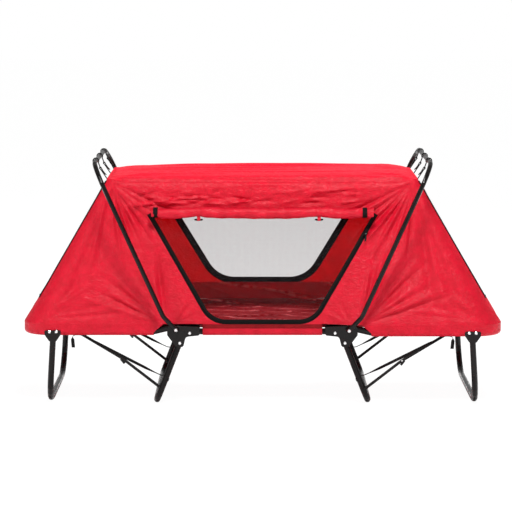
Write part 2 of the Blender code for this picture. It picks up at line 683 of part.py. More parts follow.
def cloth_ring(z, inset, corner_steps=4):
    """One closed ring of the tent's outer surface, inset by a wall thickness."""
    share = lean(z)
    hem_x = END_REACH + RAIL_R + CLOTH_GAP + WALL
    half = hem_x + (ROOF_X - hem_x) * share - inset
    corner = END_BEND + (ROOF_CORNER - END_BEND) * share
    ring = []
    for sx, sy in ((1, 1), (-1, 1), (-1, -1), (1, -1)):
        wide = cloth_half_width(sx * half, share) - inset
        centre = Vector((sx * (half - corner), sy * (wide - corner)))
        base = {(1, 1): 0, (-1, 1): 90, (-1, -1): 180, (1, -1): 270}[sx, sy]
        for k in range(corner_steps + 1):
            turn = math.radians(base + 90 * k / corner_steps)
            ring.append(Vector((centre.x + corner * math.cos(turn), centre.y + corner * math.sin(turn), z)))
        if sy > 0 and sx > 0:
            spots = (HUB_NOTCH - RUN, PIVOT_X, 0, -PIVOT_X)
            ring += [Vector((x, cloth_half_width(x, share) - inset, z)) for x in spots]
        elif sy < 0 and sx < 0:
            spots = (-PIVOT_X, 0, PIVOT_X, HUB_NOTCH - RUN)
            ring += [Vector((x, -cloth_half_width(x, share) + inset, z)) for x in spots]
    return ring


def tent_body(name, inset):
    """Closed solid of the tent: tapered walls and a crowned roof, inset for the inner face."""
    bm = bmesh.new()
    middle_z = (LEAN_Z + ROOF_Z) / 2
    heights = [HEM_Z - inset, LEAN_Z, middle_z, ROOF_Z]
    rings = [[bm.verts.new(p) for p in cloth_ring(z, inset)] for z in heights]
    for verts in rings[2:]:
        for v in verts:
            v.co.z -= inset * 0.8
    top = [v.co.copy() for v in rings[-1]]
    for shrink in (0.75, 0.45, 0.12):
        ring = []
        for p in top:
            rise = ROOF_CROWN * (1 - shrink ** 2)
            ring.append(bm.verts.new((p.x * (0.35 + 0.65 * shrink), p.y * shrink, p.z + rise)))
        rings.append(ring)
    count = len(rings[0])
    for lower, upper in zip(rings, rings[1:]):
        for k in range(count):
            bm.faces.new((lower[k], lower[(k + 1) % count], upper[(k + 1) % count], upper[k]))
    bm.faces.new(rings[0])
    bm.faces.new(rings[-1])
    return add_object(name, bm, red_cloth())


def door_outline(top_x, top_z, bottom_x, bottom_z, corner, grow=0.0):
    points = [(-top_x - grow, top_z + grow), (top_x + grow, top_z + grow),
              (bottom_x + grow, bottom_z - grow), (-bottom_x - grow, bottom_z - grow)]
    return round_corners(points, [0.004, 0.004, corner, corner], 4)


def door_shapes():
    door = (DOOR_TOP_X, DOOR_TOP_Z, DOOR_BOTTOM_X, DOOR_BOTTOM_Z, DOOR_CORNER)
    window = (WINDOW_TOP_X, WINDOW_TOP_Z, WINDOW_BOTTOM_X, WINDOW_BOTTOM_Z, WINDOW_CORNER)
    return {-1: door, 1: window}


def canopy():
    """Tent cloth in three pieces that meet outside the hubs, with its door and window cut out."""
    end = [(SEAM_X, MIDDLE_HEM_Z), (HUB_NOTCH, MIDDLE_HEM_Z), (HUB_NOTCH, 0), (1, 0), (1, 2), (SEAM_X, 2)]
    inner = SEAM_X - RUN
    low = MIDDLE_HEM_Z + RUN
    parts = {"left": [(-x, z) for x, z in end], "right": end,
             "middle": [(-inner, low), (inner, low), (inner, 2), (-inner, 2)]}
    for part, outline in parts.items():
        item = tent_body(f"tent_{part}", 0.0)
        combine(item, tent_body("inside", WALL), "DIFFERENCE")
        combine(item, slab("part", outline, -1, 1, red_cloth()), "INTERSECT")
        for flank, sizes in door_shapes().items():
            cut = slab("opening", door_outline(*sizes), flank * 0.15, flank * 0.5, red_cloth())
            combine(item, cut, "DIFFERENCE")
        item.data.shade_smooth()
        item.data.set_sharp_from_angle(angle=math.radians(35))


def wall_y(z, x=0):
    """Outer face of the side walls at height z."""
    return cloth_half_width(x, lean(z))


def screens():
    """Netting sewn into the door and window, in the slope of the wall."""
    for flank, sizes in door_shapes().items():
        inset = RUN
        shape = door_outline(sizes[0] - inset, sizes[1] - inset, sizes[2] - inset, sizes[3] + inset, sizes[4])
        bm = bmesh.new()
        faces = []
        for offset in (0, SCREEN):
            verts = [bm.verts.new((x, flank * (wall_y(z) - WALL / 2 - offset), z)) for x, z in shape]
            faces.append(verts)
        count = len(shape)
        for k in range(count):
            bm.faces.new((faces[0][k], faces[0][(k + 1) % count], faces[1][(k + 1) % count], faces[1][k]))
        bm.faces.new(faces[0])
        bm.faces.new(faces[1])
        name = "door_screen" if flank < 0 else "window_screen"
        add_object(name, bm, netting(), False)


def door_roll():
    """Door panel rolled up and tied along the top of its opening."""
    y = -(wall_y(ROLL_Z, ROLL_HALF) + ROLL_RADIUS * 1.02 + RUN)
    path = [Vector((x * ROLL_HALF, y, ROLL_Z)) for x in (-1, 1)]
    tube("door_roll", path, ROLL_RADIUS, red_cloth(), 14)


def slider_line():
    """Top of the door's right zip and the way down it, as a point and a unit vector."""
    top = Vector((DOOR_TOP_X, 0, DOOR_TOP_Z))
    low = Vector((DOOR_BOTTOM_X, 0, DOOR_BOTTOM_Z))
    for end in (top, low):
        end.y = -wall_y(end.z, DOOR_TOP_X)
    return top, (low - top).normalized()


def zip_slider():
    """Slider of the door's zip, parked under the rolled door."""
    top, way = slider_line()
    slope = (wall_y(LEAN_Z, DOOR_TOP_X) - ROOF_Y) / (ROOF_Z - LEAN_Z)
    out = Vector((0, -1, slope)).normalized()
    across = way.cross(out).normalized()
    middle = top + way * 0.075 + out * (SLIDER_THICK / 2 + RUN) + Vector((0.012, 0, 0))
    bm = bmesh.new()
    bmesh.ops.create_cube(bm, size=1)
    for v in bm.verts:
        v.co = (middle + way * (v.co.x * SLIDER_LENGTH) + across * (v.co.y * SLIDER_WIDTH)
                + out * (v.co.z * SLIDER_THICK))
    bmesh.ops.bevel(bm, geom=bm.edges[:], offset=0.0008, segments=1, affect="EDGES")
    add_object("zip_slider", bm, black_paint(), False)


def bed():
    """Sling of the bed in three pieces, between the rails and clear of the hubs."""
    z0, z1 = BED_Z, BED_Z + BED_THICK
    hub_y = INNER_PLATE_Y - PLATE - HEAD_HEIGHT - 0.002
    middle = PIVOT_X - 0.001
    hub_end = FIX_X - 0.040
    half = [(-middle, -hub_y), (-hub_end, -hub_y), (-hub_end, -RAIL_Y), (hub_end, -RAIL_Y),
            (hub_end, -hub_y), (middle, -hub_y)]
    spans = {"middle": half + [(-x, -y) for x, y in half]}
    for side in (-1, 1):
        wide = END_Y[side]
        outline = [(PIVOT_X + 0.001, -hub_y), (SEAM_X, -hub_y), (SEAM_X, -wide), (END_REACH, -wide),
                   (END_REACH, wide), (SEAM_X, wide), (SEAM_X, hub_y), (PIVOT_X + 0.001, hub_y)]
        radii = [0, 0, 0, END_BEND, END_BEND, 0, 0, 0]
        spans[SIDE[side]] = [(side * x, y) for x, y in round_corners(outline, radii, 4)]
    for part, outline in spans.items():
        bm = bmesh.new()
        face = bm.faces.new([bm.verts.new((x, y, z0)) for x, y in outline])
        grown = bmesh.ops.extrude_face_region(bm, geom=[face])
        moved = [v for v in grown["geom"] if isinstance(v, bmesh.types.BMVert)]
        bmesh.ops.translate(bm, verts=moved, vec=(0, 0, z1 - z0))
        add_object(f"bed_{part}", bm, bed_cloth(), False)


clear_scene()
middle_rails()
hubs()
end_rails()
end_legs()
middle_legs()
brackets()
hoops()
hooks()
roof_straps()
stays()
tension_straps()
canopy()
screens()
door_roll()
zip_slider()
bed()
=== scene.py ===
"""Looks of the tent cot: cloth, netting, webbing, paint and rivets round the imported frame.

Metres, +Z up, floor at z = 0. -Y is the door side, called near, and +X is to its right.
"""
import math

import bmesh
import bpy
import numpy as np
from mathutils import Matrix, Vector


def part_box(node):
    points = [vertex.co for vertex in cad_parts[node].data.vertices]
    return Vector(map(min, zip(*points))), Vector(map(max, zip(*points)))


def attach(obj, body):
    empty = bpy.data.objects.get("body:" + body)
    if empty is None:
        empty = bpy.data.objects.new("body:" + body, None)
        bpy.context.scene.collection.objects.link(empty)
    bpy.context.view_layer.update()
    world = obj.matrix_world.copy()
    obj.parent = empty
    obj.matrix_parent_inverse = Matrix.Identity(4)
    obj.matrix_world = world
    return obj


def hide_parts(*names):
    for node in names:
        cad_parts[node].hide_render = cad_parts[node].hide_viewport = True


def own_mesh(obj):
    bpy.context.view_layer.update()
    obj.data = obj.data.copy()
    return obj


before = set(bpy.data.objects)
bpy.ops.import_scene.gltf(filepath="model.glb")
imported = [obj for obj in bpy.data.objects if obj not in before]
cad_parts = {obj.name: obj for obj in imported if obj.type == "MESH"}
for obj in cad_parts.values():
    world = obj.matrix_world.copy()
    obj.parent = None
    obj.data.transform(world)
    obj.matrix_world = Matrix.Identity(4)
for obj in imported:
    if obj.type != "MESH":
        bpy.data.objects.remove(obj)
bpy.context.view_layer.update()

SIDES = {-1: "left", 1: "right"}
FLANKS = {-1: "near", 1: "far"}

# Painted frame: bent steel tube and pressed plates in gloss black powder coat, a little brown, with
# dull patches where hands hold it. The rivets that join them keep their bright zinc.


def principled(name, colour, roughness, metallic=0.0, specular=0.5):
    """A new Principled material with its node tree and shader to build on."""
    made = bpy.data.materials.new(name)
    made.use_nodes = True
    shader = made.node_tree.nodes["Principled BSDF"]
    plain = {"Base Color": (*colour, 1), "Roughness": roughness, "Metallic": metallic,
             "Specular IOR Level": specular}
    for setting, value in plain.items():
        shader.inputs[setting].default_value = value
    return made, made.node_tree, shader


def texture(tree, kind, scale, coordinates="Object", **settings):
    """A texture node whose pattern is scaled along each axis by scale."""
    where = tree.nodes.new("ShaderNodeTexCoord")
    stretch = tree.nodes.new("ShaderNodeMapping")
    stretch.inputs["Scale"].default_value = scale
    made = tree.nodes.new(kind)
    for setting, value in settings.items():
        made.inputs[setting].default_value = value
    tree.links.new(where.outputs[coordinates], stretch.inputs["Vector"])
    tree.links.new(stretch.outputs["Vector"], made.inputs["Vector"])
    return made


def noise(tree, scale, **settings):
    """Cloudy pattern with about scale clouds to the metre, one number or one for each axis."""
    return texture(tree, "ShaderNodeTexNoise", tuple(np.broadcast_to(scale, 3)), **settings).outputs["Fac"]


def waves(tree, direction, scale, coordinates="Object", **settings):
    """Bands that follow one another along a direction."""
    made = texture(tree, "ShaderNodeTexWave", scale, coordinates, **settings)
    made.bands_direction = direction
    return made.outputs["Fac"]


def feed(tree, socket, value):
    """Gives a socket a number or the output of another node."""
    if isinstance(value, float):
        socket.default_value = value
    else:
        tree.links.new(value, socket)


def ramp(tree, factor, low, high, target=None):
    """Colour ramp between two (place, colour) stops, linked to a socket; a plain number is a grey."""
    made = tree.nodes.new("ShaderNodeValToRGB")
    for stop, (place, colour) in enumerate((low, high)):
        made.color_ramp.elements[stop].position = place
        made.color_ramp.elements[stop].color = (*np.broadcast_to(colour, 3), 1)
    tree.links.new(factor, made.inputs["Fac"])
    if target:
        tree.links.new(made.outputs["Color"], target)
    return made.outputs["Color"]


def emboss(tree, shader, height, depth, strength=1.0, under=None):
    """Bump of the given depth in metres, on top of another bump if one is given."""
    bump = tree.nodes.new("ShaderNodeBump")
    bump.inputs["Distance"].default_value = depth
    bump.inputs["Strength"].default_value = strength
    tree.links.new(height, bump.inputs["Height"])
    if under:
        tree.links.new(under, bump.inputs["Normal"])
    tree.links.new(bump.outputs["Normal"], shader.inputs["Normal"])
    return bump.outputs["Normal"]


def black_powder_coat():
    """Gloss black with an orange-peel surface, duller and browner in patches."""
    made, tree, shader = principled("black_powder_coat", (0.012, 0.010, 0.010), 0.28, specular=0.18)
    handled = noise(tree, 9, Detail=4.0)
    ramp(tree, handled, (0.35, 0.14), (0.75, 0.34), shader.inputs["Roughness"])
    ramp(tree, handled, (0.3, (0.003, 0.002, 0.002)), (0.8, (0.007, 0.005, 0.005)),
         shader.inputs["Base Color"])
    emboss(tree, shader, noise(tree, 420, Detail=1.0), 0.00012, 0.5)
    return made


def zinc_plate():
    """Bright zinc on the rivets, with turning marks and a little clouding."""
    made, tree, shader = principled("zinc_plate", (0.74, 0.73, 0.74), 0.24, 1.0)
    cloud = noise(tree, 260, Detail=3.0)
    ramp(tree, cloud, (0.3, (0.60, 0.59, 0.60)), (0.7, (0.84, 0.83, 0.83)), shader.inputs["Base Color"])
    ramp(tree, cloud, (0.3, 0.34), (0.7, 0.18), shader.inputs["Roughness"])
    emboss(tree, shader, cloud, 0.00005, 0.4)
    return made


PAINT = black_powder_coat()
ZINC = zinc_plate()
PLATE_HALF = 0.001           # half the thickness of a plate or link
PROUD = 0.0002               # a rivet's head stands out of its plate by more than this
PAINTED = ("middle_rail", "left_", "right_", "roof_hook", "stay_upper", "hub_inner")
PLATE_Y = {                  # from the middle of the bed to the middle of each riveted plate
    "hub_outer": 0.3583, "leg_bracket_left": 0.3303, "leg_bracket_right": 0.3613,
    "stay_lower_left": 0.2973, "stay_lower_right": 0.3276,
}


def coat(node, *finishes):
    """Gives a CAD node its finishes in place of the plain one it came with."""
    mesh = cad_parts[node].data
    mesh.materials.clear()
    for finish in finishes:
        mesh.materials.append(finish)
    return mesh


def coat_riveted(node, plate_y):
    """Black on the plate, zinc on what stands out of its two faces: plate_y is its middle, unsigned."""
    mesh = coat(node, PAINT, ZINC)
    corner = np.zeros(len(mesh.polygons) * 3, int)
    mesh.polygons.foreach_get("vertices", corner)
    place = np.zeros(len(mesh.vertices) * 3)
    mesh.vertices.foreach_get("co", place)
    across = np.abs(place.reshape(-1, 3)[corner, 1]).reshape(-1, 3)
    rivets = np.abs(across - plate_y).max(axis=1) > PLATE_HALF + PROUD
    mesh.polygons.foreach_set("material_index", rivets.astype(int))


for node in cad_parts:
    if node.startswith(PAINTED):
        coat(node, PAINT)
    elif node.startswith("hinge_rivet"):
        coat(node, ZINC)
    for kind, plate_y in PLATE_Y.items():
        if node.startswith(kind):
            coat_riveted(node, plate_y)

# Tent cloth: red coated nylon, cut in a middle and two ends that meet outside the hubs.
# The walls lean in from the rails to the roof's edge and pucker at the seams and corners.

LEFT_LANE = 0.315            # centre line to the left end's rail and the middle rails
RIGHT_LANE = 0.346           # the right end's rail runs in a lane of its own
LANE = {-1: LEFT_LANE, 1: RIGHT_LANE}
OFF_RAIL = 0.0128            # cloth to the rail's centre line
RAIL_Z = 0.258
END_REACH = 0.824            # middle of the bed to the end rail's centre line
END_BEND = 0.085             # bend radius of the end rail
HEM_TOP = 0.286              # walls start here, above the hubs
ROOF_X = 0.5435              # the roof's half length, half width and edge height
ROOF_Y = 0.2535
ROOF_Z = 0.7845
ROOF_CORNER = 0.030
SEAM_X = 0.395
WIDENS = (0.205, 0.345)      # over this stretch the right end's cloth moves out to its own lane
CLOTH = 0.0008               # thickness of the nylon
HOLLOW = 0.009               # how far the walls are sucked in half way up
EDGE_REACH = 0.036           # how far from the roof's edge the rounding starts
EDGE_CUT = 0.010             # how far the edge itself moves in and down
PUCKER_TOP = 0.782           # the roof's seam, where the puckers start
PUCKER_STEP = 0.04
SMOOTH_BELOW = math.radians(60)     # edges that bend less than this are shaded smooth


def smooth(value, low, high):
    """0 below low, 1 above high, and the smooth step 3t^2 - 2t^3 between them."""
    t = np.clip((value - low) / (high - low), 0, 1)
    return t * t * (3 - 2 * t)


def half_width(x, rise):
    """Half width of the tent at x; rise is 0 at the hem and 1 at the roof. The right end is wider."""
    hem = LEFT_LANE + OFF_RAIL + (RIGHT_LANE - LEFT_LANE) * smooth(x, *WIDENS)
    return hem + (ROOF_Y - hem) * rise


def creases(a, b, lines):
    """Sum of ridges in the (a, b) plane: height * exp(-|offset / width|^1.5), fading at both ends."""
    total = np.zeros(np.broadcast(a, b).shape)
    for a0, b0, a1, b1, width, height in lines:
        da, db = a1 - a0, b1 - b0
        length = math.hypot(da, db)
        along = ((a - a0) * da + (b - b0) * db) / length ** 2
        offset = ((a - a0) * db - (b - b0) * da) / length
        fade = smooth(along, -0.1, 0.3) * (1 - smooth(along, 0.55, 1.1))
        total += height * fade * np.exp(-np.abs(offset / width) ** 1.5)
    return total


def fan(rng, side, a, b, count, spread, reach, width, height):
    """Creases that run out from the corner (side * a, b), alternately ridge and hollow.

    The spread of directions is given in degrees for side -1, and mirrored for side 1.
    """
    if side > 0:
        half_turn = math.copysign(180, spread[0])
        spread = (half_turn - spread[1], half_turn - spread[0])
    lines = []
    for k in range(count):
        turn = math.radians(spread[0] + (spread[1] - spread[0]) * (k + rng.uniform(0.2, 0.8)) / count)
        long = reach * rng.uniform(0.6, 1.1)
        lines.append((side * a, b, side * a + long * math.cos(turn), b + long * math.sin(turn),
                      width * rng.uniform(0.7, 1.3), height * (1 if k % 2 else -1) * rng.uniform(0.5, 1.0)))
    return lines


def puckers(rng, first, count, shift, drop, width, height):
    """Short creases that hang from the roof's seam, one to every PUCKER_STEP from first."""
    lines = []
    for k in range(count):
        a = first + k * PUCKER_STEP + rng.uniform(-shift, shift)
        lines.append((a, PUCKER_TOP, a + rng.uniform(-0.02, 0.02), PUCKER_TOP - rng.uniform(*drop),
                      rng.uniform(*width), rng.uniform(-height, height)))
    return lines


def strays(rng, count, a_range, b_range, over, up, width, height):
    """Creases that start anywhere in two ranges; their run, width and height are drawn too."""
    lines = []
    for _ in range(count):
        a = rng.uniform(*a_range)
        b = rng.uniform(*b_range)
        lines.append((a, b, a + rng.uniform(*over), b + rng.uniform(*up),
                      rng.uniform(*width), rng.uniform(*height)))
    return lines


WALL_FANS = (                # x, z, count, directions on the left side, reach, width, height
    (0.53, 0.775, 13, (-88, -22), 0.30, 0.0085, 0.0140),
    (0.535, 0.77, 5, (-122, -96), 0.50, 0.018, 0.0150),
    (0.80, 0.292, 7, (20, 80), 0.24, 0.010, 0.0110),
    (0.34, 0.285, 12, (95, 165), 0.32, 0.0095, 0.0130),
    (0.30, 0.285, 4, (20, 80), 0.09, 0.007, 0.0040),
    (0.78, 0.300, 3, (2, 16), 0.42, 0.008, 0.0050),
)


def wall_lines(seed):
    """Creases of one long wall in (x, z): fans at the corners, puckers under the roof, long drags."""
    rng = np.random.default_rng(seed)
    lines = []
    for side in (-1, 1):
        for corner in WALL_FANS:
            lines += fan(rng, side, *corner)
    lines += puckers(rng, -0.50, 26, 0.014, (0.02, 0.055), (0.004, 0.008), 0.0022)
    lines += strays(rng, 64, (-0.48, 0.38), (0.692, 0.742), (0.04, 0.15), (-0.018, 0.018),
                    (0.0035, 0.006), (-0.0080, 0.0080))
    lines += strays(rng, 7, (-0.50, 0.10), (0.735, 0.768), (0.25, 0.45), (-0.012, 0.012),
                    (0.007, 0.012), (-0.0030, 0.0045))
    return lines


WALL_LINES = {-1: wall_lines(11), 1: wall_lines(23)}


def rise_of(z):
    """Share of the way up from the hem to the roof."""
    return (z - HEM_TOP) / (ROOF_Z - HEM_TOP)


def sewn_down(rise):
    """0 at the hem and at the roof's edge, where the cloth is held, and 1 between them."""
    return smooth(rise, 0.0, 0.05) * (1 - smooth(rise, 0.97, 1.0))


def wall_relief(x, z, flank):
    """How far a long wall stands out of its plane: its creases less the hollow half way up."""
    rise = rise_of(z)
    return sewn_down(rise) * (creases(x, z, WALL_LINES[flank]) - HOLLOW * np.sin(np.pi * np.clip(rise, 0, 1)))


def grid(x, y, z):
    """Points of three arrays that are broadcast against one another."""
    return np.stack(np.broadcast_arrays(x, y, z), axis=-1)


def eased_edge(points):
    """Rounds the long edges of the roof: points near one move in and down by the square of how near."""
    y, z = points[..., 1], points[..., 2]
    near = np.clip((z - ROOF_Z + EDGE_REACH) / EDGE_REACH, 0, 1) ** 2
    near *= np.clip((np.abs(y) - ROOF_Y + EDGE_REACH) / EDGE_REACH, 0, 1) ** 2
    near *= 1 - smooth(np.abs(points[..., 0]), ROOF_X - 0.06, ROOF_X - 0.01)
    points[..., 1] -= np.sign(y) * EDGE_CUT * near
    points[..., 2] -= EDGE_CUT * near
    return points


def long_wall(x, z, flank):
    """Point of a long wall at (x, z): the plane between rail and roof plus its relief along Y."""
    return eased_edge(grid(x, flank * (half_width(x, rise_of(z)) + wall_relief(x, z, flank)), z))


def placed(name, data):
    """A new object of the scene that shows the data."""
    item = bpy.data.objects.new(name, data)
    bpy.context.scene.collection.objects.link(item)
    return item


def grid_mesh(name, points, close_u=False, finish=None, uv=None):
    """Mesh of a grid of points, rows along the first index, wrapped along it if close_u."""
    rows, columns = points.shape[:2]
    index = np.arange(rows * columns).reshape(rows, columns)
    if close_u:
        index = np.vstack([index, index[:1]])
    quads = np.stack([index[:-1, :-1], index[1:, :-1], index[1:, 1:], index[:-1, 1:]], axis=-1)
    quads = quads.reshape(-1, 4)
    mesh = bpy.data.meshes.new(name)
    mesh.from_pydata(points.reshape(-1, 3).tolist(), [], quads.tolist())
    if uv is not None:
        corner = np.zeros(len(quads) * 4, int)
        mesh.loops.foreach_get("vertex_index", corner)
        mesh.uv_layers.new(name="UVMap").data.foreach_set("uv", uv.reshape(-1, 2)[corner].ravel())
    mesh.shade_smooth()
    if finish:
        mesh.materials.append(finish)
    return placed(name, mesh)


def applied(piece):
    """Applies a piece's modifiers and shades it smooth up to its sharp edges."""
    graph = bpy.context.evaluated_depsgraph_get()
    graph.update()
    mesh = bpy.data.meshes.new_from_object(piece.evaluated_get(graph))
    piece.modifiers.clear()
    piece.data = mesh
    mesh.shade_smooth()
    mesh.set_sharp_from_angle(angle=SMOOTH_BELOW)
    return piece


def thicken(piece, thickness):
    """Gives a sheet its thickness, half to each side."""
    solid = piece.modifiers.new("thickness", "SOLIDIFY")
    solid.thickness = thickness
    solid.offset = 0.0
    solid.use_even_offset = False
    return applied(piece)


def line_length(line):
    """Length of a broken line."""
    return float(np.linalg.norm(np.diff(line, axis=0), axis=1).sum())


def flat_size(points):
    """Flat width, length and area of a grid of points, measured along its longest lines."""
    width = max(line_length(row) for row in points)
    length = max(line_length(column) for column in points.transpose(1, 0, 2))
    one = np.cross(points[1:, :-1] - points[:-1, :-1], points[:-1, 1:] - points[:-1, :-1])
    two = np.cross(points[1:, :-1] - points[1:, 1:], points[:-1, 1:] - points[1:, 1:])
    area = (np.linalg.norm(one, axis=-1) + np.linalg.norm(two, axis=-1)).sum() / 2
    return width, length, float(area)


def sewn(name, points, finish, stands_for=None, thickness=CLOTH):
    """Cloth over a grid of points, with its thickness; its flat size is worked out but not kept, and it still
    has to ride.
    """
    piece = thicken(grid_mesh(name, points, finish=finish), thickness)
    flat_size(points)
    if stands_for:
        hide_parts(stands_for)
    return piece


def mixed_shaders(tree, first, second, share):
    """Links two shaders, mixed, to the material's output; the second's share is a number or a socket."""
    both = tree.nodes.new("ShaderNodeMixShader")
    feed(tree, both.inputs["Fac"], share)
    tree.links.new(first.outputs[0], both.inputs[1])
    tree.links.new(second.outputs[0], both.inputs[2])
    tree.links.new(both.outputs["Shader"], tree.nodes["Material Output"].inputs["Surface"])


def coated_nylon(name, light, dark, roughness=0.40, through=0.40, sheen=0.32):
    """Plain weave under a thin shiny coating that lets some light through to its other face."""
    made, tree, shader = principled(name, light, roughness, specular=sheen)
    cloud = noise(tree, 7, Detail=5.0, Roughness=0.6)
    shade = ramp(tree, cloud, (0.25, dark), (0.72, light), shader.inputs["Base Color"])
    ramp(tree, cloud, (0.3, roughness + 0.10), (0.7, roughness - 0.06), shader.inputs["Roughness"])
    slack = noise(tree, (11, 11, 17), Detail=3.0, Roughness=0.6, Distortion=1.4)
    loose = emboss(tree, shader, slack, 0.010, 0.4)
    crumple = noise(tree, 55, Detail=4.0, Roughness=0.65)
    soft = emboss(tree, shader, crumple, 0.0012, 0.4, loose)
    weave = texture(tree, "ShaderNodeTexVoronoi", (1400, 1400, 1400))
    emboss(tree, shader, weave.outputs["Distance"], 0.00012, 0.35, soft)
    glow = tree.nodes.new("ShaderNodeBsdfTranslucent")
    tree.links.new(shade, glow.inputs["Color"])
    mixed_shaders(tree, shader, glow, through)
    return made


RED = coated_nylon("red_coated_nylon", (0.81, 0.006, 0.035), (0.64, 0.003, 0.020))


def fold_with_hoops(piece):
    """Middle of the tent: fixed to the middle rails."""
    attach(piece, "root")
    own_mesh(piece)
    return piece


def fold_with_end(piece, side):
    """End of the tent: fixed to the end rail, so that it turns with that end as it folds over."""
    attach(piece, f"{SIDES[side]}_end")
    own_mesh(piece)
    return piece


DOOR = (0.391, 0.668, 0.176, 0.298, 0.085)      # half top, top, half bottom, bottom, corner
WINDOW = (0.345, 0.668, 0.165, 0.366, 0.110)
PRISM = (0.15, 0.45)         # an opening is cut from the first to the second distance off the middle


def opening_outline(half_top, top, half_bottom, bottom, corner, steps=10):
    """Trapezium in (x, z) from its top right round to its top left, lower corners as arcs."""
    start, turn = np.array([half_top, top]), np.array([half_bottom, bottom])
    ahead = (turn - start) / np.linalg.norm(turn - start)
    reach = corner / math.tan((math.pi - math.acos(-ahead[0])) / 2)
    inward = np.array([ahead[1], -ahead[0]])
    centre = turn - ahead * reach + corner * inward
    arc = np.linspace(math.atan2(-inward[1], -inward[0]), -math.pi / 2, steps)
    right = np.vstack([start, centre + corner * np.stack([np.cos(arc), np.sin(arc)], axis=1)])
    return np.vstack([right, (right * np.array([-1, 1]))[::-1]])


def resampled(line, step):
    """Points at even steps along a broken line."""
    gone = np.concatenate([[0], np.cumsum(np.linalg.norm(np.diff(line, axis=0), axis=1))])
    spots = np.linspace(0, gone[-1], max(2, int(gone[-1] / step) + 1))
    return np.stack([np.interp(spots, gone, line[:, k]) for k in range(line.shape[1])], axis=1)


def cut_opening(piece, outline, flank):
    """Cuts a door or window through a wall with a prism along Y."""
    ring = grid(outline[:, :1], flank * np.array([PRISM]), outline[:, 1:])
    prism = grid_mesh("prism", ring, close_u=True)
    count = len(outline)
    faces = [tuple(face.vertices) for face in prism.data.polygons]
    faces += [tuple(range(0, 2 * count, 2)), tuple(range(2 * count - 1, 0, -2))]
    prism.data = bpy.data.meshes.new("prism_closed")
    prism.data.from_pydata(ring.reshape(-1, 3).tolist(), [], faces)
    cut = piece.modifiers.new("opening", "BOOLEAN")
    cut.operation = "DIFFERENCE"
    cut.solver = "EXACT"
    cut.object = prism
    applied(piece)
    bpy.data.objects.remove(prism, do_unlink=True)


OUTLINES = {-1: opening_outline(*DOOR), 1: opening_outline(*WINDOW)}


for flank, row in FLANKS.items():
    columns = np.linspace(-SEAM_X, SEAM_X, 216)[None, :]
    points = long_wall(columns, np.linspace(HEM_TOP, ROOF_Z, 136)[:, None], flank)
    wall = thicken(grid_mesh(f"wall_{row}", points, finish=RED), CLOTH)
    cut_opening(wall, OUTLINES[flank], flank)
    flat_size(points)
    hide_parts("tent_middle")
    fold_with_hoops(wall)

# Tent ends: the same nylon from the seam outside the hub, round the two corners and over the end.
# Each wraps its end rail as a sleeve at the hem and rides on that end of the frame.

CORNER_SHARE = (0.30, 0.36)  # columns up to the corner and past it, as shares of half the way round


def end_lines(side):
    """Creases of an end wall in (y, z): fans from the roof's corners and drags off the hem."""
    rng = np.random.default_rng(31 + side)
    lines = []
    for flank in (-1, 1):
        lines += fan(rng, flank, 0.24, 0.77, 8, (-85, -30), 0.34, 0.013, 0.0120)
        lines += fan(rng, flank, 0.30, 0.295, 7, (25, 75), 0.24, 0.011, 0.0100)
    return lines + puckers(rng, -0.22, 12, 0.01, (0.03, 0.07), (0.005, 0.009), 0.0026)


def round_the_end(side, way, rise, lines):
    """Point of an end at way -1..1 from near seam to far seam, and rise 0..1 from hem to roof.

    The level outline is a straight, a corner arc, the end's straight, an arc and a straight,
    blended between the rail's outline and the roof's.
    """
    flank = np.sign(way)
    share = 1 - np.abs(way)
    wide_x = END_REACH + OFF_RAIL + (ROOF_X - END_REACH - OFF_RAIL) * rise
    corner = END_BEND + OFF_RAIL + (ROOF_CORNER - END_BEND - OFF_RAIL) * rise
    bend_x = wide_x - corner
    first, last = CORNER_SHARE
    x_straight = SEAM_X + (bend_x - SEAM_X) * np.clip(share / first, 0, 1)
    turn = np.pi / 2 * (1 - np.clip((share - first) / (last - first), 0, 1))
    x = np.where(share < first, x_straight, bend_x + corner * np.cos(turn))
    edge = half_width(side * x, rise)
    bend_y = half_width(side * bend_x, rise) - corner
    y = np.where(share < first, edge, bend_y + corner * np.sin(turn))
    y = np.where(share > last, bend_y * (1 - np.clip((share - last) / (1 - last), 0, 1)), y)
    z = HEM_TOP + (ROOF_Z - HEM_TOP) * rise
    long_way = 1 - smooth(share, first - 0.04, first + 0.02)
    for one in FLANKS:
        y = np.where(flank == one, y + wall_relief(side * x, z, one) * long_way, y)
    bulge = sewn_down(rise) * (creases(flank * y, z, lines) - 1.3 * HOLLOW * np.sin(np.pi * rise))
    x = x + bulge * smooth(share, last - 0.03, last + 0.05)
    return eased_edge(grid(side * x, flank * y, z))


def rail_walk(side, start, steps=60):
    """Points and outward directions along a U rail, from x = start round the end and back."""
    bend_x, bend_y = END_REACH - END_BEND, LANE[side] - END_BEND
    arc = np.linspace(-np.pi / 2, 0, 13)
    round_arc = np.stack([np.cos(arc), np.sin(arc)], axis=1)
    run = np.linspace(start, bend_x, steps)[:-1]
    near = np.stack([run, np.full_like(run, -LANE[side])], axis=1)
    half = np.vstack([near, np.array([bend_x, -bend_y]) + END_BEND * round_arc])
    cross = np.linspace(-bend_y, bend_y, steps)[1:-1]
    end = np.stack([np.full_like(cross, END_REACH), cross], axis=1)
    other_flank = np.array([1, -1])
    place = np.vstack([half, end, (half * other_flank)[::-1]])
    half = np.vstack([np.tile([0.0, -1.0], (len(near), 1)), round_arc])
    out = np.vstack([half, np.tile([1.0, 0.0], (len(end), 1)), (half * other_flank)[::-1]])
    return place * np.array([side, 1]), out * np.array([side, 1])


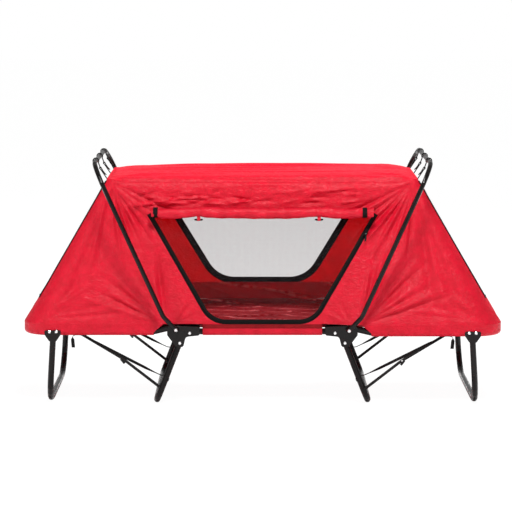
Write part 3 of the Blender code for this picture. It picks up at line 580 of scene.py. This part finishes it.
def sleeve_profile(top):
    """(outward, up) from the wall down the rail's outer side and three quarters round under it."""
    drop = np.array([(OFF_RAIL, top), (OFF_RAIL, top * 0.6), (OFF_RAIL, top * 0.25)])
    arc = np.linspace(0, -1.35 * np.pi, 19)
    return np.vstack([drop, OFF_RAIL * np.stack([np.cos(arc), np.sin(arc)], axis=1)])


def along(place, out, profile, level):
    """Grid of a profile of (outward, up) carried along a level path."""
    flat = place[:, None, :] + out[:, None, :] * profile[None, :, :1]
    height = np.broadcast_to(level + profile[None, :, 1:], flat.shape[:2] + (1,))
    return np.concatenate([flat, height], axis=-1)


SLEEVE_START = 0.345         # the sleeve's top starts here, past the hub
SLEEVE_CUT = 0.034           # its edge slants out by this much to the underside

for side, end in SIDES.items():
    way = np.concatenate([np.linspace(-1, -1e-4, 150), np.linspace(1e-4, 1, 150)])[None, :]
    points = round_the_end(side, way, np.linspace(0, 1, 112)[:, None], end_lines(side))
    wall = sewn(f"end_wall_{end}", points, RED,
                f"tent_{end}")
    fold_with_end(wall, side)

    place, out = rail_walk(side, SLEEVE_START)
    points = along(place, out, sleeve_profile(HEM_TOP - RAIL_Z), RAIL_Z)
    depth = np.clip((HEM_TOP - points[..., 2]) / 0.03, 0, 1)
    points[..., 0] += side * SLEEVE_CUT * depth * (1 - smooth(np.abs(points[..., 0]), SLEEVE_START, 0.44))
    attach(sewn(f"end_sleeve_{end}", points, RED), f"{end}_end")

# Middle sleeves: the bed's hem round the straight middle rails, in red nylon,
# with a near-black red strip along above each: painted shade for the shadowed gap under the wall's hem.

MIDDLE_SLEEVE = 0.208        # half length, clear of the hubs
# Near-black red that lets almost no light through: painted shade for the gap between the wall's hem and the
# sleeve.
HEM_SHADE_RED = coated_nylon("painted_shade_hem_strip", (0.24, 0.002, 0.005), (0.16, 0.001, 0.004), 0.6, 0.05, 0.15)
HEM_BAND = np.array([(OFF_RAIL + 0.0010, 0.0265), (OFF_RAIL + 0.0012, 0.019), (OFF_RAIL + 0.0010, 0.0125)])

for flank, row in FLANKS.items():
    run = np.linspace(-MIDDLE_SLEEVE, MIDDLE_SLEEVE, 60)
    place = np.stack([run, np.full_like(run, flank * LEFT_LANE)], axis=1)
    out = np.tile([0.0, float(flank)], (len(run), 1))
    points = along(place, out, sleeve_profile(HEM_TOP - RAIL_Z + 0.001), RAIL_Z)
    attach(sewn(f"middle_sleeve_{row}", points, RED), "root")
    points = along(place, out, HEM_BAND, RAIL_Z)
    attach(sewn(f"hem_strip_{row}", points, HEM_SHADE_RED), "root")

# Roof: a crowned panel that hangs from three hooks at each end, in soft folds that run lengthwise.
# A narrow piped seam joins it to the walls all the way round.

ROOF_CROWN = 0.0175          # half way along; it grows by ROOF_TILT per metre to the right
ROOF_TILT = 0.009
HOOK_Y = {"near": -0.215, "middle": 0.0, "far": 0.215}


def roof_half_length(y):
    """Half length of the roof at y: its corners are arcs."""
    past = np.clip((np.abs(y) - (ROOF_Y - ROOF_CORNER)) / ROOF_CORNER, 0, 1)
    return ROOF_X - ROOF_CORNER + ROOF_CORNER * np.sqrt(1 - past ** 2)


def roof_lines(seed):
    """Lengthwise folds, and short puckers that run in from the hooks."""
    rng = np.random.default_rng(seed)
    lines = []
    for k in range(12):
        y = -0.235 + k * 0.041 + rng.uniform(-0.01, 0.01)
        x = rng.uniform(-0.60, -0.30)
        lines.append((x, y, x + rng.uniform(0.6, 1.0), y + rng.uniform(-0.035, 0.035),
                      rng.uniform(0.008, 0.018), rng.uniform(0.0035, 0.0090) * (1 if k % 2 else -1)))
    for side in (-1, 1):
        for hook in HOOK_Y.values():
            lines += fan(rng, side, 0.54, hook, 5, (-30, 30), 0.20, 0.009, 0.0030)
    return lines


ROOF_LINES = roof_lines(5)


def roof_point(x, across):
    """Roof over x at across -1..1 of its width: a low crown plus its folds, flat at the seam."""
    y = across * ROOF_Y
    inside = 1 - np.abs(across) ** 6
    crown = (ROOF_CROWN + ROOF_TILT * x) * inside * np.clip(1 - (x / ROOF_X) ** 14, 0, 1)
    edge = smooth(1 - np.abs(across), 0.0, 0.06) * smooth(roof_half_length(y) - np.abs(x), 0.0, 0.015)
    return eased_edge(grid(x, y, ROOF_Z + edge * (crown + creases(x, y, ROOF_LINES))))


across = np.sin(np.linspace(-1, 1, 84) * np.pi / 2)[None, :]
points = roof_point(np.linspace(-SEAM_X, SEAM_X, 120)[:, None], across)
fold_with_hoops(sewn("roof_middle", points, RED, "tent_middle"))
for side, end in SIDES.items():
    share = np.linspace(0, 1, 30)[:, None]
    points = roof_point(side * (SEAM_X + share * (roof_half_length(across * ROOF_Y) - SEAM_X)), across)
    fold_with_end(sewn(f"roof_{end}", points, RED, f"tent_{end}"), side)


def merged(piece):
    """Merges the doubles at poles and seams and turns the faces outwards."""
    form = bmesh.new()
    form.from_mesh(piece.data)
    bmesh.ops.remove_doubles(form, verts=form.verts, dist=1e-6)
    bmesh.ops.recalc_face_normals(form, faces=form.faces)
    form.to_mesh(piece.data)
    form.free()
    return piece


def unit(vectors):
    """Each row scaled to length 1."""
    return vectors / np.linalg.norm(vectors, axis=1)[:, None]


def swept(name, line, radius, finish, sides=8):
    """Cord or bar along a line; each of its rings stands square to the line there."""
    ahead = unit(np.gradient(line, axis=0))
    least = np.eye(3)[np.argmin(np.abs(ahead).max(axis=0))]
    beside = unit(np.cross(ahead, least))
    over = np.cross(beside, ahead)
    turn = np.linspace(0, 2 * np.pi, sides, endpoint=False)[None, :, None]
    ring = np.cos(turn) * beside[:, None, :] + np.sin(turn) * over[:, None, :]
    points = line[:, None, :] + ring * np.broadcast_to(radius, len(line)).reshape(-1, 1, 1)
    first, last = (np.repeat(line[k][None, None, :], sides, axis=1) for k in (0, -1))
    points = np.concatenate([first, points, last])
    piece = merged(grid_mesh(name, points.transpose(1, 0, 2), close_u=True, finish=finish))
    return piece


PIPING = 0.0013              # radius of the piped seam

for flank, row in FLANKS.items():
    run = np.linspace(-SEAM_X, SEAM_X, 80)
    line = eased_edge(grid(run, flank * ROOF_Y, ROOF_Z))
    fold_with_hoops(swept(f"roof_piping_{row}", line, PIPING, RED))
for side, end in SIDES.items():
    way = np.linspace(-1, 1, 200)
    line = round_the_end(side, way, np.ones_like(way), [])
    fold_with_end(swept(f"roof_piping_{end}", line, PIPING, RED), side)

# Door and window netting: fine dark insect mesh, sewn into the openings behind the binding.
# It lets most light through, so the bed and the far window show behind it.

SCREEN_INSET = 0.0012
OPENING_MIDDLE = np.array([0.0, 0.5])


def math_node(tree, operation, first, second):
    """Result of an operation on an output and a second output or number."""
    made = tree.nodes.new("ShaderNodeMath")
    made.operation = operation
    tree.links.new(first, made.inputs[0])
    feed(tree, made.inputs[1], second)
    return made.outputs["Value"]


def mapped(tree, factor, low, high, target):
    """Turns a factor of 0 to 1 into low to high and links it to a socket."""
    made = tree.nodes.new("ShaderNodeMapRange")
    made.inputs["To Min"].default_value = low
    made.inputs["To Max"].default_value = high
    tree.links.new(factor, made.inputs["Value"])
    tree.links.new(made.outputs["Result"], target)


def insect_netting(name, colour, hole, thread_cover):
    """Square mesh of fine threads; alpha is thread_cover on a thread and hole in between."""
    made, tree, shader = principled(name, colour, 0.6)
    upright, level = (math_node(tree, "POWER", waves(tree, axis, (1, 1, 1), Scale=190.0), 4.0)
                      for axis in ("X", "Z"))
    mapped(tree, math_node(tree, "MAXIMUM", upright, level), hole, thread_cover, shader.inputs["Alpha"])
    return made


DOOR_NET = insect_netting("door_netting", (0.05, 0.045, 0.05), 0.02, 0.15)
WINDOW_NET = insect_netting("window_netting", (0.20, 0.19, 0.20), 0.24, 0.58)

for flank, place, net in ((-1, "door", DOOR_NET), (1, "window", WINDOW_NET)):
    outline = OUTLINES[flank]
    edge = resampled(np.vstack([outline, outline[:1]]), 0.012)[:-1]
    share = np.linspace(0, 1, 24)[:, None, None]
    flat = OPENING_MIDDLE + share * (edge[None] - OPENING_MIDDLE)
    points = long_wall(flat[..., 0], flat[..., 1], flank)
    points[..., 1] -= flank * SCREEN_INSET
    netting = merged(grid_mesh(f"{place}_netting", points.transpose(1, 0, 2), close_u=True, finish=net))
    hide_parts(f"{place}_screen")
    fold_with_hoops(netting)

# Binding and zips: black webbing folded over the edges of the door and window, with the zip's
# coil beside it. A second zip runs down the near corner of each end, where a small pull hangs.

DOOR_BINDING = 0.016         # widths of the two bindings and the door's coil
WINDOW_BINDING = 0.024
COIL = 0.0045
OVERHANG = 0.003             # the binding reaches this far into the opening
TAPE_LIFT = 0.0022           # out of the wall: the binding, the coil, and the binding on the inside
COIL_LIFT = 0.0042
INSIDE_LIFT = -0.0026
NARROWEST = 0.01             # a band wider than this has its flat size worked out, and a narrower coil not
WAVE_METRE = 0.314           # scale of a wave texture that has one wave to the metre


def black_webbing(name, rib):
    """Woven tape: ribs across it every rib metres, with a twill cut along them."""
    made, tree, shader = principled(name, (0.004, 0.003, 0.004), 0.6, specular=0.08)
    scale = WAVE_METRE / rib
    ribs = waves(tree, "Y", (1, 1, 1), "UV", Scale=scale)
    twill = waves(tree, "DIAGONAL", (1, 1, 1), "UV", Scale=scale / 1.6)
    emboss(tree, shader, twill, 0.0002, 0.5, emboss(tree, shader, ribs, 0.0004, 0.8))
    ramp(tree, ribs, (0.1, 0.002), (0.9, (0.007, 0.006, 0.006)), shader.inputs["Base Color"])
    return made


TAPE = black_webbing("black_binding_tape", 0.0016)
COIL_BLACK = black_webbing("black_zip_coil", 0.0009)


def metres_uv(points):
    """UV of a grid in metres: across its rows and along its columns."""
    u = np.concatenate([[0], np.cumsum(np.linalg.norm(np.diff(points[0], axis=0), axis=1))])
    v = np.concatenate([[0], np.cumsum(np.linalg.norm(np.diff(points[:, 0], axis=0), axis=1))])
    return np.stack(np.meshgrid(u, v), axis=-1)


def wall_band(name, line, width, shift, lift, flank, finish):
    """Band that follows a line on a long wall, shifted outwards from it, with a low dome across."""
    ahead = unit(np.gradient(line, axis=0))
    out = np.stack([-ahead[:, 1], ahead[:, 0]], axis=1)
    out *= np.sign((out * (line - OPENING_MIDDLE)).sum(axis=1))[:, None]
    across = np.linspace(-1, 1, 7)
    flat = line[:, None] + out[:, None] * (shift + across[None, :, None] * width / 2)
    points = long_wall(flat[..., 0], flat[..., 1], flank)
    points[..., 1] += flank * lift * (0.35 + 0.65 * (1 - across ** 2))
    band = thicken(grid_mesh(name, points, finish=finish, uv=metres_uv(points)), CLOTH)
    if width > NARROWEST:
        size = flat_size(points)
    fold_with_hoops(band)


for flank, tape, place in ((-1, DOOR_BINDING, "door"), (1, WINDOW_BINDING, "window")):
    line = resampled(OUTLINES[flank], 0.005)
    wall_band(f"{place}_binding", line, tape, tape / 2 - OVERHANG, TAPE_LIFT, flank, TAPE)
    wall_band(f"{place}_coil", line, COIL, tape / 2 - 0.002, COIL_LIFT, flank, COIL_BLACK)
    wall_band(f"{place}_binding_inside", line, tape, tape / 2 - OVERHANG, INSIDE_LIFT, flank, TAPE)


def ribbon(name, line, across, width, finish, thickness=0.0012, held=None):
    """Strip of webbing: a line widened along across, a direction for all or for each point.

    If held is given, its flat size is worked out but not kept.
    """
    across = unit(np.broadcast_to(np.asarray(across, float), line.shape))
    share = np.linspace(-0.5, 0.5, 5)[None, :, None]
    points = line[:, None, :] + across[:, None, :] * share * width
    strip = thicken(grid_mesh(name, points, finish=finish, uv=metres_uv(points)), thickness)
    if held:
        flat_size(points)
    return strip


def softened(line, rounds=3):
    """Cuts the corners of a line: each pair of points gives its quarter and three-quarter points."""
    line = np.asarray(line, float)
    for _ in range(rounds):
        inner = np.stack([0.75 * line[:-1] + 0.25 * line[1:], 0.25 * line[:-1] + 0.75 * line[1:]], axis=1)
        line = np.vstack([line[:1], inner.reshape(-1, line.shape[1]), line[-1:]])
    return line


END_ZIP = 0.012              # width of an end zip's coil with its tape
END_ZIP_WAY = -0.652         # its place on the way round the end, where -1 is the near seam
PULL_FROM = 2                # the point of the zip's line that its pull hangs from
PULL_DROP = 0.034

for side, end in SIDES.items():
    rise = np.linspace(0.17, 0.985, 90)
    line = round_the_end(side, np.full_like(rise, END_ZIP_WAY), rise, end_lines(side))
    beside = round_the_end(side, np.full_like(rise, END_ZIP_WAY + 0.004), rise, [])
    beside -= round_the_end(side, np.full_like(rise, END_ZIP_WAY - 0.004), rise, [])
    out = np.cross(np.gradient(line, axis=0), beside)
    out = unit(out * np.sign(out[:, :1] * side))
    coil = ribbon(f"end_zip_{end}", line + out * 0.0016, beside, END_ZIP, COIL_BLACK, held="stretched")
    fold_with_end(coil, side)
    fallen = np.linspace(0, 1, 12)[:, None]
    tab = line[PULL_FROM] + out[PULL_FROM] * 0.004 * (1 + fallen) - np.array([0, 0, PULL_DROP]) * fallen
    pull = ribbon(f"end_zip_pull_{end}", tab, beside[PULL_FROM], END_ZIP, TAPE, 0.002, "hung")
    fold_with_end(pull, side)

# Door's slider: the moulded body that runs on the door's zip, at the right of the door.
# Its pull hangs down from it.

slider = merged(placed("door_slider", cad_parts["zip_slider"].data.copy()))
slider.data.materials.clear()
slider.data.materials.append(PAINT)
slider.data.shade_flat()
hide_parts("zip_slider")
low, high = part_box("zip_slider")
hang = np.array([(low.x + high.x) / 2, low.y - 0.0006, (low.z + high.z) / 2 - 0.004])
line = softened(hang + [(0, 0, 0), (0, -0.003, -0.006), (-0.002, -0.002, -0.028)])
slider_pull = ribbon("door_slider_pull", line, (1, 0, 0), 0.006, PAINT, 0.0014)
for piece in (slider, slider_pull):
    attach(piece, "zip_pull")
    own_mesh(piece)

# Rolled door: the red door panel, rolled up tight from below and held by two toggled ties.
# Black straps close its two ends, each with a knot below.

low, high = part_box("door_roll")
ROLL_HALF = high.x
ROLL_Z = (low.z + high.z) / 2
ROLL_RADIUS = (high.z - low.z) / 2 - 0.0006
ROLL_CORE = 0.004
ROLL_PITCH = 0.0028          # each turn of the roll adds this to its radius
ROLL_SAG = 0.0045            # how far it hangs down between two fastenings
PINCH = 0.16                 # share that a fastening takes off its radius
PINCH_WIDTH = 0.014
TIES = (-0.222, 0.197)
END_STRAPS = (-0.372, 0.356)


def roll_axis(x):
    """Middle of the roll at x: against the wall, with a slight sag between its fastenings."""
    y = -(half_width(x, rise_of(ROLL_Z)) + ROLL_RADIUS * 1.04 - HOLLOW * 0.3)
    spots = np.array([-0.39, END_STRAPS[0], TIES[0], TIES[1], END_STRAPS[1], 0.39])
    gap = np.interp(x, (spots[:-1] + spots[1:]) / 2, np.diff(spots))
    nearest = np.abs(np.asarray(x)[..., None] - spots).min(axis=-1)
    return y, ROLL_Z - ROLL_SAG * smooth(nearest / gap, 0.0, 0.5)


def roll_squeeze(x):
    """Share of the full radius at x: pinched at the ties and end straps, loose between."""
    share = np.ones_like(x)
    for spot in TIES + END_STRAPS:
        share -= PINCH * np.exp(-((x - spot) / PINCH_WIDTH) ** 2)
    return share


def roll_surface(x, gone):
    """Spiral of the panel: gone 0 at the core and 1 at the free edge, at an even pace along it."""
    radius = np.sqrt(ROLL_CORE ** 2 + gone * (ROLL_RADIUS ** 2 - ROLL_CORE ** 2))
    turn = 2 * np.pi * (radius - ROLL_CORE) / ROLL_PITCH + 0.9
    lumps = 1 + 0.07 * np.sin(3 * turn / 5.5 + 21 * x) * np.sin(2 * turn + 9 * x + 1.0)
    lumps += 0.045 * np.sin(47 * x + 2 * turn) + 0.03 * np.sin(113 * x - 3 * turn)
    y, z = roll_axis(x)
    reach = np.minimum(radius * lumps, ROLL_RADIUS * 1.03) * roll_squeeze(x)
    return grid(x, y + reach * np.cos(turn), z + reach * np.sin(turn))


points = roll_surface(np.linspace(-ROLL_HALF, ROLL_HALF, 150)[:, None], np.linspace(0, 1, 210)[None, :])
roll = sewn("rolled_door", points, RED, "door_roll")
fold_with_hoops(roll)


def roll_loop(x, width, grow, name, finish):
    """Band round the roll at x, following its pinched section."""
    turn = np.linspace(0, 2 * np.pi, 33)
    y, z = roll_axis(x)
    radius = ROLL_RADIUS * roll_squeeze(x) + grow
    line = grid(x, y + radius * np.cos(turn), z + radius * np.sin(turn))
    fold_with_hoops(ribbon(name, line, (1, 0, 0), width, finish, held="stretched"))


TOGGLE_HALF = 0.015          # half length of a toggle
TOGGLE_RADIUS = 0.0038
TOGGLE_BELOW = 0.005         # from the roll's underside down to a toggle

for k, x in enumerate(TIES, 1):
    roll_loop(x, 0.012, 0.0012, f"roll_tie_{k}", RED)
    y, z = roll_axis(x)
    z -= ROLL_RADIUS + TOGGLE_BELOW
    way = np.linspace(-1, 1, 16)
    blunt = np.sqrt(1 - (0.98 * way) ** 8)
    toggle = swept(f"roll_toggle_{k}", grid(x + TOGGLE_HALF * way, y - 0.0085, z),
                   TOGGLE_RADIUS * (1 - 0.25 * way ** 2) * blunt, PAINT, 12)
    fold_with_hoops(toggle)
    bends = np.array([(0, -0.010, 0.012), (0.001, -0.0135, 0), (-0.001, -0.010, -0.004)])
    tail = ribbon(f"roll_tie_tail_{k}", softened(bends + (x, y, z)), (1, 0, 0), 0.011, RED, held="hung")
    fold_with_hoops(tail)


def trefoil(centre, reach):
    """Overhand knot as a closed line: sin t + 2 sin 2t, cos t - 2 cos 2t and -sin 3t, flattened."""
    t = np.linspace(0, 2 * np.pi, 40)
    across, out = np.sin(t) + 2 * np.sin(2 * t), np.cos(t) - 2 * np.cos(2 * t)
    return centre + reach * grid(across * 0.5, out * 0.5, -np.sin(3 * t) * 0.7)


for k, x in enumerate(END_STRAPS, 1):
    roll_loop(x, 0.016, 0.0014, f"roll_end_strap_{k}", TAPE)
    y, z = roll_axis(x)
    centre = np.array([math.copysign(ROLL_HALF - 0.004, x), y - 0.004, z - 0.014])
    fold_with_hoops(swept(f"roll_knot_{k}", trefoil(centre, 0.0062), 0.0027, TAPE))

# Bed: dark red polyester sling in three parts, drawn over the tops of the rails.
# It dips a little between them and is creased along its length where the frame folds.

BED_EDGE = 0.2699            # top of the rails
BED_DIP = 0.010
BED_HALF = 0.299             # half length of the middle part
UNDERLAP = 0.0014            # an end's cloth starts this far under the middle's edge
NARROW = 0.2965              # half width between the hubs' rivets
# Pale pink of the painted crease highlights on the bed and its lining.
PAINTED_CREASE_HIGHLIGHT = (0.95, 0.22, 0.24)
FOLD_CREASES = (             # from (x, y) to (x, y), seen through the door
    (-0.15, 0.33, 0.22, 0.03), (-0.24, 0.33, 0.13, 0.01), (-0.20, -0.02, 0.16, 0.06),
    (0.02, 0.28, 0.36, 0.10), (-0.32, 0.10, -0.02, -0.12), (-0.05, -0.05, 0.30, -0.18),
)


def with_painted_crease_highlights(made):
    """Adds thin pale lines, broken into stretches, that fall towards the right: painted highlights, as if
    glossy creases caught the light.
    """
    tree = made.node_tree
    target = tree.nodes["Principled BSDF"].inputs["Base Color"]
    bands = waves(tree, "DIAGONAL", (1.6, 8.0, 9.0), Scale=1.0, Distortion=2.6, Detail=1.0)
    lines = ramp(tree, bands, (0.93, 0.0), (0.99, 1.0))
    stretches = ramp(tree, noise(tree, (6, 9, 9), Detail=1.0), (0.38, 0.0), (0.50, 1.0))
    mix = tree.nodes.new("ShaderNodeMix")
    mix.data_type = "RGBA"
    tree.links.new(math_node(tree, "MULTIPLY", lines, stretches), mix.inputs["Factor"])
    tree.links.new(target.links[0].from_socket, mix.inputs[6])
    mix.inputs[7].default_value = (*PAINTED_CREASE_HIGHLIGHT, 1)
    tree.links.new(mix.outputs[2], target)
    return made


# The maroon polyester, with painted crease highlights over its colour.
MAROON = with_painted_crease_highlights(coated_nylon("maroon_polyester", (0.42, 0.0070, 0.018), (0.30, 0.005, 0.013),
                               0.40, 0.30, 0.3))


def bed_lines():
    """Creases of the sling in (x, y): strays all over, then the strong folds that the door shows."""
    lines = strays(np.random.default_rng(3), 30, (-0.75, 0.65), (-0.26, 0.26), (0.05, 0.22), (-0.10, 0.10),
                   (0.004, 0.008), (-0.0030, 0.0035))
    return lines + [(*ends, 0.0045, 0.0085) for ends in FOLD_CREASES]


BED_LINES = bed_lines()


def bed_point(x, y):
    """Sling at (x, y): level with the rails at its edges, dipping between them, with creases."""
    inside = np.clip(1 - (y / NARROW) ** 2, 0, 1) * smooth(END_REACH - 0.02 - np.abs(x), 0.0, 0.12)
    return grid(x, y, BED_EDGE - BED_DIP * inside + creases(x, y, BED_LINES) * smooth(inside, 0.0, 0.15))


across = np.linspace(-1, 1, 90)[None, :]
run = np.linspace(-BED_HALF, BED_HALF, 96)[:, None]
wide = LEFT_LANE - 0.0005 - (LEFT_LANE - NARROW) * smooth(np.abs(run), 0.2085, 0.2115)
points = bed_point(run, across * wide)
bed = sewn("bed_sling_middle", points, MAROON,
           "bed_middle")
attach(bed, "root")
for side, end in SIDES.items():
    bend_x = END_REACH - END_BEND
    run = np.concatenate([np.linspace(BED_HALF - 0.003, bend_x, 60),
                          bend_x + END_BEND * np.sin(np.linspace(0.06, 1, 18) * np.pi / 2)])[:, None]
    past = np.clip((run - bend_x) / END_BEND, 0, 1)
    wide = LANE[side] - END_BEND + END_BEND * np.sqrt(1 - past ** 2)
    wide = wide - (LANE[side] - NARROW) * (1 - smooth(run, 0.395, 0.400))
    points = bed_point(side * run, across * wide)
    points[..., 2] -= UNDERLAP * (1 - smooth(run, BED_HALF, BED_HALF + 0.008))
    bed = sewn(f"bed_sling_{end}", points, MAROON, f"bed_{end}")
    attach(bed, f"{end}_end")

# Bed's turned-up edge: past the rails the sling's edge stands up and meets the wall's hem.
# It is cut at the hubs, so that the outer stretch folds with its end.

FLAP_START = 0.203
FLAP_END = 0.396
FLAP_CLOTH = 0.0006
FLAP_OUT = np.array([0.0, 0.0, 0.10, 0.35, 0.7, 1.0])[None, :]      # share of the way out to the hem
FLAP_UP = np.array([0.2702, 0.2790, 0.2838, 0.2848, 0.2851, 0.2855])[None, :]

for flank, row in FLANKS.items():
    stretches = [("middle", -FLAP_START, FLAP_START, LEFT_LANE - 0.0010, "root")]
    for side, end in SIDES.items():
        stretches += [(f"inner_{end}", side * FLAP_START, side * BED_HALF, NARROW, "root"),
                      (f"outer_{end}", side * (BED_HALF + 0.002), side * FLAP_END, NARROW, f"{end}_end")]
    for part, start, stop, base, body in stretches:
        run = np.linspace(start, stop, 24)[:, None]
        y = flank * (base + (half_width(run, 0.0) - FLAP_CLOTH - base) * FLAP_OUT)
        flap = sewn(f"bed_edge_{part}_{row}", grid(run, y, FLAP_UP), MAROON,
                    thickness=FLAP_CLOTH)
        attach(flap, body)

# Bed's lining: the maroon cloth stands up inside the far wall as far as the window's binding.
# It is a loose strip, creased where the bed is folded.

# The lining's maroon is about twice as bright as the bed's: painted light on the same cloth, for the light
# its shaded place lacks.
BRIGHTENED_LINING = with_painted_crease_highlights(coated_nylon("maroon_lining_painted_light", (0.80, 0.012, 0.040), (0.62, 0.010, 0.028), 0.46, 0.50, 0.2))
LINING_TOP = 0.350
LINING_INSET = 0.0040
LINING_LINES = ((-0.24, 0.350, -0.08, 0.285, 0.0050, 0.0065), (-0.06, 0.336, 0.26, 0.288, 0.0035, 0.0060),
                (-0.34, 0.330, -0.20, 0.288, 0.0035, 0.0045), (0.20, 0.345, 0.36, 0.310, 0.0035, 0.0045))
run = np.linspace(-SEAM_X, SEAM_X, 140)[:, None]
height = np.linspace(HEM_TOP + 0.001, LINING_TOP, 26)[None, :]
points = long_wall(run, height, 1)
points[..., 1] -= LINING_INSET + creases(run, height, LINING_LINES)
fold_with_hoops(sewn("bed_lining_far", points, BRIGHTENED_LINING))

# Roof straps: short black webbing from each wire hook to the roof's end seam, doubled back
# through a black slider, so that the roof can be drawn tight.

STRAP = 0.018
HOOK_END = (0.5668, 0.8200)  # tip of a hook's stem, right side
ROOF_EDGE = (0.5456, 0.7859)
STRAP_SHAPE = (              # (down from the hook, out from the strap's line), there and back
    (0.0435, 0.0), (0.020, 0.0007), (0.004, 0.0012), (-0.003, 0.0032), (-0.006, 0.0),
    (-0.003, -0.0034), (0.006, -0.0026), (0.018, -0.0026), (0.030, -0.0050),
)
SLIDER_HALF = (0.0125, 0.0085)      # half width and half height of a slider
WEBBING = black_webbing("black_strap_webbing", 0.0022)


def slider_buckle(name, centre, across, up, out):
    """Moulded slider: a rounded frame, cos^0.4 by sin^0.4, with a bar across its middle."""
    turn = np.linspace(0, 2 * np.pi, 41)[:, None]
    round_x = np.sign(np.cos(turn)) * np.abs(np.cos(turn)) ** 0.4
    round_z = np.sign(np.sin(turn)) * np.abs(np.sin(turn)) ** 0.4
    ring = centre + round_x * across * SLIDER_HALF[0] + round_z * up * SLIDER_HALF[1]
    bar = centre + np.linspace(-1, 1, 8)[:, None] * across * SLIDER_HALF[0] + out * 0.0006
    return swept(name, ring, 0.0019, PAINT), swept(f"{name}_bar", bar, 0.0018, PAINT)


for side, end in SIDES.items():
    for row, y in HOOK_Y.items():
        top = np.array([side * HOOK_END[0], y, HOOK_END[1]])
        low = np.array([side * ROOF_EDGE[0], y, ROOF_EDGE[1]])
        down = (low - top) / np.linalg.norm(low - top)
        out = np.array([-down[2], 0, down[0]])
        out *= np.sign(out[0] * side)
        line = softened([top + down * a + out * b for a, b in STRAP_SHAPE])
        strap = ribbon(f"roof_webbing_{end}_{row}", line, (0, 1, 0), STRAP, WEBBING, 0.0018)
        buckle = slider_buckle(f"roof_slider_{end}_{row}", top + down * 0.016 - out * 0.0004,
                               np.array([0, 1.0, 0]), down, out)
        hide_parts(f"roof_strap_{end}_{row}")
        for piece in (strap, *buckle):
            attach(piece, f"{end}_hoop_body")

# Tension straps: webbing from under each end rail down to a loop round the middle leg.
# The free end hangs from the rail; the slider that holds the length is not drawn.

LEG_TOP = np.array([0.287, 0.223])
LEG_FOOT = np.array([0.370, 0.0106])
LOOP_SHARE = 0.62            # how far down the leg the loop sits
LEG_LOOP = 0.0122            # radius of the loop
STRAP_TOP = 0.24605
TENSION_X = 0.636            # the strap meets the rail here
TAIL_X = 0.664
TAIL_LOW = 0.201
TENSION_WIDTH = 0.012
TWIST = math.radians(52)     # the strap turns this far on edge along its span


def tension_route():
    """(x, z) of a strap from its loop round the leg up to the rail, and down its hanging tail."""
    centre = LEG_TOP + (LEG_FOOT - LEG_TOP) * LOOP_SHARE
    turn = np.linspace(1.55 * np.pi, 0.35 * np.pi, 14)
    loop = centre + LEG_LOOP * np.stack([np.cos(turn), np.sin(turn)], axis=1)
    rest = [centre + np.array([0.022, 0.0125]), (TENSION_X - 0.01, STRAP_TOP - 0.0035),
            (TENSION_X, STRAP_TOP), (TAIL_X - 0.004, STRAP_TOP - 0.001), (TAIL_X - 0.001, STRAP_TOP - 0.012),
            (TAIL_X - 0.004, TAIL_LOW)]
    return centre[0], np.vstack([loop, rest])


for side, end in SIDES.items():
    for flank, row in FLANKS.items():
        loop_x, route = tension_route()
        inward = (LANE[side] - LEFT_LANE) * (1 - smooth(route[:, 0], loop_x + 0.013, loop_x + 0.05))
        line = softened(grid(side * route[:, 0], flank * (LANE[side] - inward), route[:, 1]), 2)
        reach = np.abs(line[:, 0])
        span = smooth(reach, loop_x + 0.03, loop_x + 0.09)
        span = span * (1 - smooth(reach, TENSION_X - 0.06, TENSION_X - 0.01))
        hang = 1 - smooth(line[:, 2], STRAP_TOP - 0.020, STRAP_TOP - 0.006)
        hang = hang * (reach > TENSION_X + 0.01)
        face = grid(side * hang, np.cos(TWIST * span) * (1 - hang), np.sin(TWIST * span))
        strap = ribbon(f"tension_webbing_{end}_{row}", line, face, TENSION_WIDTH, WEBBING, 0.0014,
                       "stretched")
        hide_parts(f"tension_strap_{end}_{row}")
        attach(strap, f"{end}_end")
        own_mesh(strap)

# Studio: a white floor and surround that the camera sees as plain white, a broad soft light above,
# a key from the front left and one behind.

FLOOR = np.array([-30.0, 30.0])

white, tree, shader = principled("white_floor", (0.93, 0.93, 0.93), 0.6, specular=0.2)
bright = tree.nodes.new("ShaderNodeEmission")
bright.inputs["Strength"].default_value = 1.045
seen = tree.nodes.new("ShaderNodeLightPath").outputs["Is Camera Ray"]
mixed_shaders(tree, shader, bright, math_node(tree, "MULTIPLY", seen, 0.92))
grid_mesh("studio_floor", grid(FLOOR[:, None], FLOOR, 0.0), finish=white)

world = bpy.data.worlds.new("studio")
bpy.context.scene.world = world
world.use_nodes = True
tree = world.node_tree
surround = tree.nodes["Background"]
surround.inputs["Color"].default_value = (1, 1, 1, 1)
seen = tree.nodes.new("ShaderNodeLightPath").outputs["Is Camera Ray"]
mapped(tree, seen, 0.46, 1.0, surround.inputs["Strength"])


def soft_light(name, place, aim, size, power, mirrored=True):
    """Square area light that faces a point; mirrored says whether it shows in reflections."""
    lamp = bpy.data.lights.new(name, "AREA")
    lamp.shape = "SQUARE"
    lamp.size = size
    lamp.energy = power
    item = placed(name, lamp)
    item.location = place
    item.rotation_euler = (Vector(aim) - Vector(place)).to_track_quat("-Z", "Y").to_euler()
    item.visible_glossy = mirrored


soft_light("overhead", (0.3, -2.6, 4.3), (0, 0, 0.4), 1.1, 215)
soft_light("front_left", (-3.6, -3.4, 1.6), (0, 0, 0.4), 1.6, 45)
soft_light("behind", (0.8, 2.8, 3.6), (0, 0, 0.5), 1.6, 345, mirrored=False)

# Camera: the photograph's view, with a long lens 8.7 m away and a little above the roof.
# It looks straight along the cot's width and down by about 7 degrees.

lens = bpy.data.cameras.new("camera")
lens.sensor_width = 36.0
lens.lens = 171.3
camera = placed("camera", lens)
camera.location = (-0.0223, -8.7244, 1.5385)
camera.rotation_euler = (math.pi / 2 - 0.1202, 0, 0)
bpy.context.scene.camera = camera
bpy.context.scene.view_settings.view_transform = "Standard"
